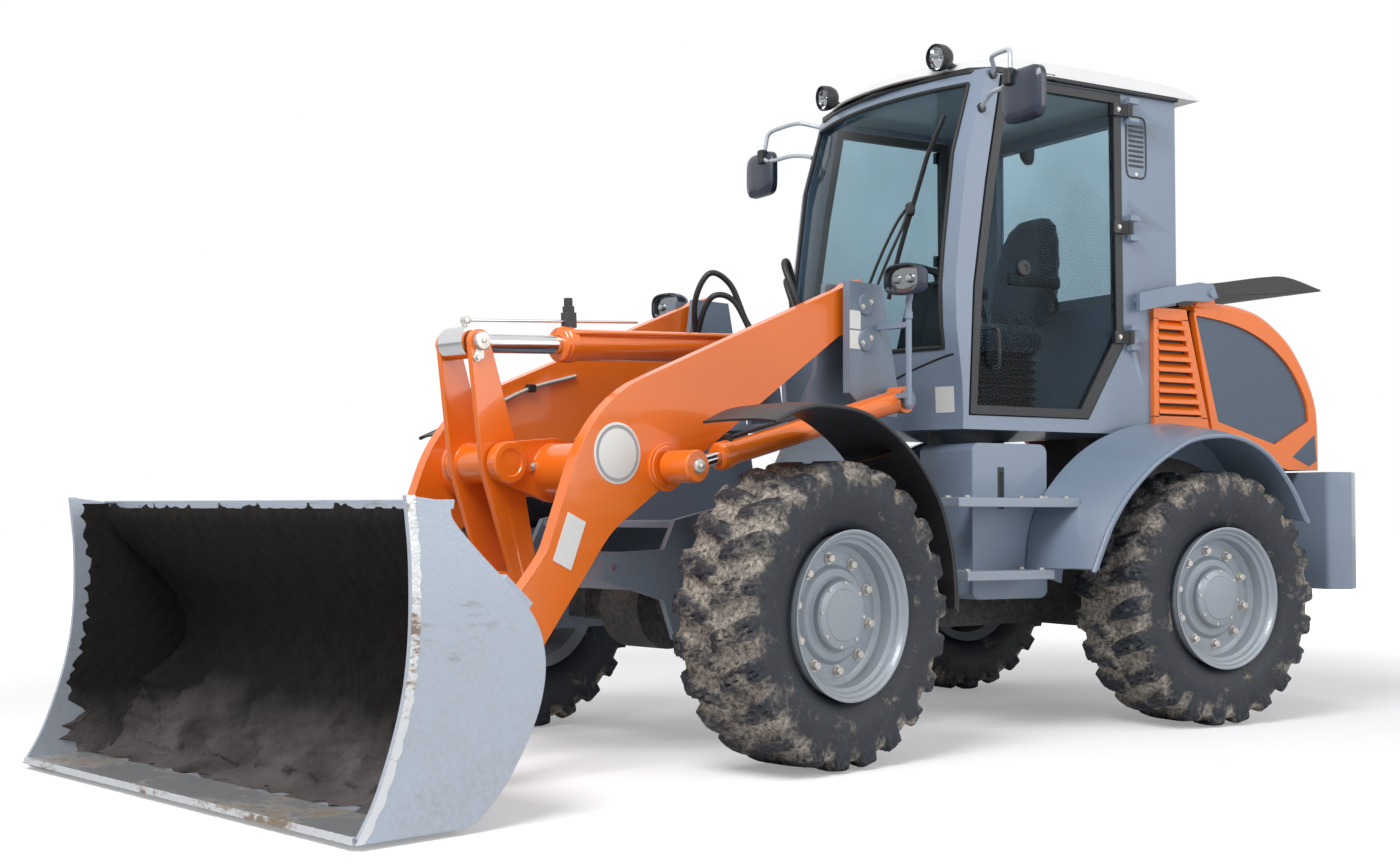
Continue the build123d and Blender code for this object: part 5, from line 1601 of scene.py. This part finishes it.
# A crowned cushion, a tall rounded back with side wings, and a bellows pedestal.
def makeSeat():
    cushion = padForm([(0, 205, 196), (14, 232, 222), (52, 240, 232), (84, 234, 226), (104, 206, 198),
                       (110, 150, 140)],
                      (-810, 0, 1696), "z")
    seat = addPiece("seatCushion", cushion, seatFabric, "rear_frame", "rear", crease=60)
    rows = []
    for level, wide, thick, lean in ((0, 178, 34, 0), (26, 214, 48, 6), (150, 232, 52, 28),
                                     (300, 226, 50, 54), (430, 200, 46, 76),
                                     (520, 160, 38, 90), (560, 110, 26, 97), (572, 60, 14, 99)):
        ring = superRing(thick, wide, 3.0)
        rows.append(np.stack([ring[:, 0] - 1006 - lean + 26 * np.square(ring[:, 1] / 240), ring[:, 1],
                              0 * ring[:, 0] + 1812 + level],
                             -1))
    back = addPiece("seatBack", shell(np.stack(rows)), seatFabric, "rear_frame", "rear",
                    crease=60)
    for piece in (seat, back):
        swell(piece)
        piece.data.shade_smooth()
        soft = piece.modifiers.new("soft", "SUBSURF")
        soft.levels = soft.render_levels = 1
    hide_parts("seat")
    folds = np.linspace(0, 1, 60)
    bellows = [(1345 + 342 * t, 186 + 10 * math.cos(t * 2 * math.pi * 8),
                178 + 10 * math.cos(t * 2 * math.pi * 8)) for t in folds]
    addPiece("seatBellows", loft(bellows, (-810, 0, 0), "z", 3.5), blackPlastic, "rear_frame",
             "rear")
    rests = [loft([(0, 150, 26), (10, 158, 32), (48, 158, 32), (58, 150, 26)], (-860, side * 262, 1990), "z",
                  3)
             for side in (1, -1)]
    addPiece("armRests", joined(rests), blackPlastic, "rear_frame", "rear")
    stalks = [tube(smoothPath([(-960, side * 226, 1850), (-1000, side * 262, 1900),
                               (-960, side * 262, 1996)], 14), 14, 12,
                   (1, 0, 0)) for side in (1, -1)]
    stick = [tube(smoothPath([(-705, -262, 2040), (-695, -262, 2090), (-700, -262, 2130)], 10),
                  [12, 11, 10, 10, 11, 14, 19, 21, 19, 10],
                  16, (0, 1, 0))]
    addPiece("armRestStalks", joined(stalks + stick), blackPlastic, "rear_frame", "rear")


makeFrontPanels()
makeRoofTrim()
makeMirrors()
makeDoorDetails()
makeSeat()
print("cab finished")

# lamps, labels, hoses and fittings
fittings = {
    "headlight": (470, 700, 1884), "labels": ((604, 1722), (604, 1640)),
    "labelHalf": (34, 38), "pinCaps": ((540, 1790), (540, 1640)), "tailLamp": (-2513, 610, 1010),
            "slot": (-297, 1037),
    "stepBolts": (-520, -380, 20),
    "hoses": {
        "hoseLong": [(600, 385, 1500), (655, 350, 1620), (716, 300, 1830), (716, 240, 1960),
                     (640, 190, 1985), (565, 160, 1880),
                     (545, 120, 1740), (540, 52, 1660)],
        "hoseShort": [(590, 385, 1540), (690, 320, 1700), (700, 240, 1880), (620, 180, 1900),
                      (556, 140, 1790),
                      (530, 100, 1690), (530, 52, 1640)],
        "hoseFar": [(600, -385, 1500), (655, -340, 1650), (730, -280, 1850), (700, -220, 1975),
                    (610, -180, 1930),
                    (550, -140, 1770), (540, -52, 1660)],
        "hoseFarShort": [(590, -385, 1540), (680, -310, 1720), (680, -230, 1870), (600, -170, 1860),
                         (535, -110, 1700),
                         (530, -52, 1640)],
    },
    "hoseRadius": 13,
}


# Rounded housings round a bowl, a clear lens over it, a turn lamp at the outer side, and a bent pole.
def makeHeadlights():
    shells, bowls, lenses, poles = [], [], [], []
    x, y, z = fittings["headlight"]
    for side in (1, -1):
        centre = (x, side * y, z)
        shells.append(loft([(-46, 40, 30), (-44, 62, 44), (-30, 82, 56), (0, 92, 63), (30, 94, 64),
                            (44, 92, 63), (46, 86, 57),
                            (34, 84, 55), (20, 80, 52), (18, 4, 3)], centre, "x", 3.2))
        bowls.append(loft([(19, 82, 53), (24, 70, 46), (26, 40, 30), (24, 5, 4)], centre, "x", 2.6))
        bowls.append(lathe([(16, 18), (18, 32), (14, 38), (1, 40)], (x, side * (y + 34), z), (1, 0, 0), 32))
        bowls.append(lathe([(16, 18), (18, 30), (14, 34), (1, 36)], (x, side * (y - 34), z), (1, 0, 0), 32))
        lenses.append(loft([(37, 83, 54), (44, 82, 53), (51, 70, 44), (54, 40, 26), (55, 4, 3)], centre, "x",
                           3.0))
        path = [(x - 16, side * y, z - 50), (x - 18, side * (y - 4), z - 74),
                (x - 18, side * (y - 10), z - 100),
                (x - 18, side * (y - 10), z - 300), (x - 18, side * (y - 10), 1371)]
        poles.append(tube(smoothPath(path, 40), 13, 16, (0, 1, 0)))
        poles.append(lathe([(17, -14), (17, 14)], (x - 18, side * (y - 10), 1740), (0, 0, 1), 20))
        poles.append(prism([(x - 34, 1690), (x - 2, 1690), (x - 2, 1712), (x - 34, 1712)],
                           *sorted((side * 530, side * 694))))
        poles.append(prism([(x - 34, 1400), (x - 2, 1400), (x - 2, 1422), (x - 34, 1422)],
                           *sorted((side * 530, side * 694))))
    addPiece("headlightPoles", joined(poles), greyPaint, "front_frame", bevel=0.002)
    addPiece("headlightBowls", joined(bowls), mirrorFace, "front_frame")
    addPiece("headlightLenses", joined(lenses), lensGlass, "front_frame")
    piece = addPiece("headlightShells", joined(shells), mirrorShell, "front_frame",
                     crease=40)
    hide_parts("headlights")


def makeLabels():
    wide, high = fittings["labelHalf"]
    plates = [prism([(x - wide, z - high), (x + wide, z - high), (x + wide, z + high), (x - wide, z + high)],
                    531, 533.4)
              for x, z in fittings["labels"]]
    addPiece("towerLabels", joined(plates), plateWhite, "front_frame", bevel=0.0008)
    caps, bolts = [], []
    for side in (1, -1):
        for x, z in fittings["pinCaps"]:
            caps.append(lathe([(46, 528), (46, 538), (42, 542), (30, 543), (1, 543)], (x, 0, z),
                              (0, side, 0), 40))
            bolts.append(boltHeads([(x + 26, side * 542, z - 12), (x - 26, side * 542, z + 12)],
                                   (0, side, 0), 8, 7))
        x, z = linkage["liftBase"]
        caps.append(lathe([(40, 640), (40, 652), (36, 656), (1, 657)], (x, 0, z), (0, side, 0), 40))
    addPiece("towerPinCaps", joined(caps), towerPaint, "front_frame")
    addPiece("towerPinBolts", joined(bolts), boltZinc, "front_frame")
    x, z = fittings["slot"]
    addPiece("sightSlot", prism([(x - 18, z - 90), (x + 18, z - 90), (x + 18, z + 90), (x - 18, z + 90)],
                                683, 686.5),
             blackPlastic, "rear_frame", "rear", bevel=0.003)
    addPiece("sightTube", tube(np.array([(x, 687, z - 70), (x, 688, z), (x, 687, z + 70)]), 7, 12,
                               (0, 1, 0)), lensGlass,
             "rear_frame", "rear")
    bolts = []
    for side in (1, -1):
        for bolt in fittings["stepBolts"]:
            for high in (994, 690):
                if not (high == 690 and bolt < -400):
                    bolts.append(boltHeads([(bolt, side * 720, high), (bolt, side * 845, high)], (0, 0, 1),
                                           12, 10))
    addPiece("stepBolts", joined(bolts), boltZinc, "rear_frame", "rear")


# Turned lamps on the counterweight's slanted corners.
def makeTailLamps():
    x, y, z = fittings["tailLamp"]
    rings, lenses = [], []
    for side in (1, -1):
        way = np.array([-0.913, side * 0.409, 0])
        for drop in (0, 128):
            rings.append(lathe([(58, -16), (58, 4), (54, 8), (48, 8), (48, -10), (1, -10)],
                               (x, side * y, z - drop), way, 48))
            lenses.append(lathe([(47, -8), (47, 6), (40, 12), (20, 15), (1, 16)], (x, side * y, z - drop),
                                way, 40))
    addPiece("tailLampRings", joined(rings), blackPlastic, "rear_frame", "rear")
    addPiece("tailLampLenses", joined(lenses), tailRed, "rear_frame", "rear")


# Tubes carried along smooth paths from the tower's cheeks to the tilt cylinder's foot pin.
def makeHoses():
    for name, points in fittings["hoses"].items():
        path = smoothPath(points, 90)
        hose = addPiece(name, tube(path, fittings["hoseRadius"], 14, (1, 0.2, 0)), hoseRubber, "front_frame")


tailRed = makeGlass("tailRed", (0.75, 0.03, 0.02))
makeHeadlights()
makeLabels()
makeTailLamps()
makeHoses()
print("lamps, labels and hoses made")
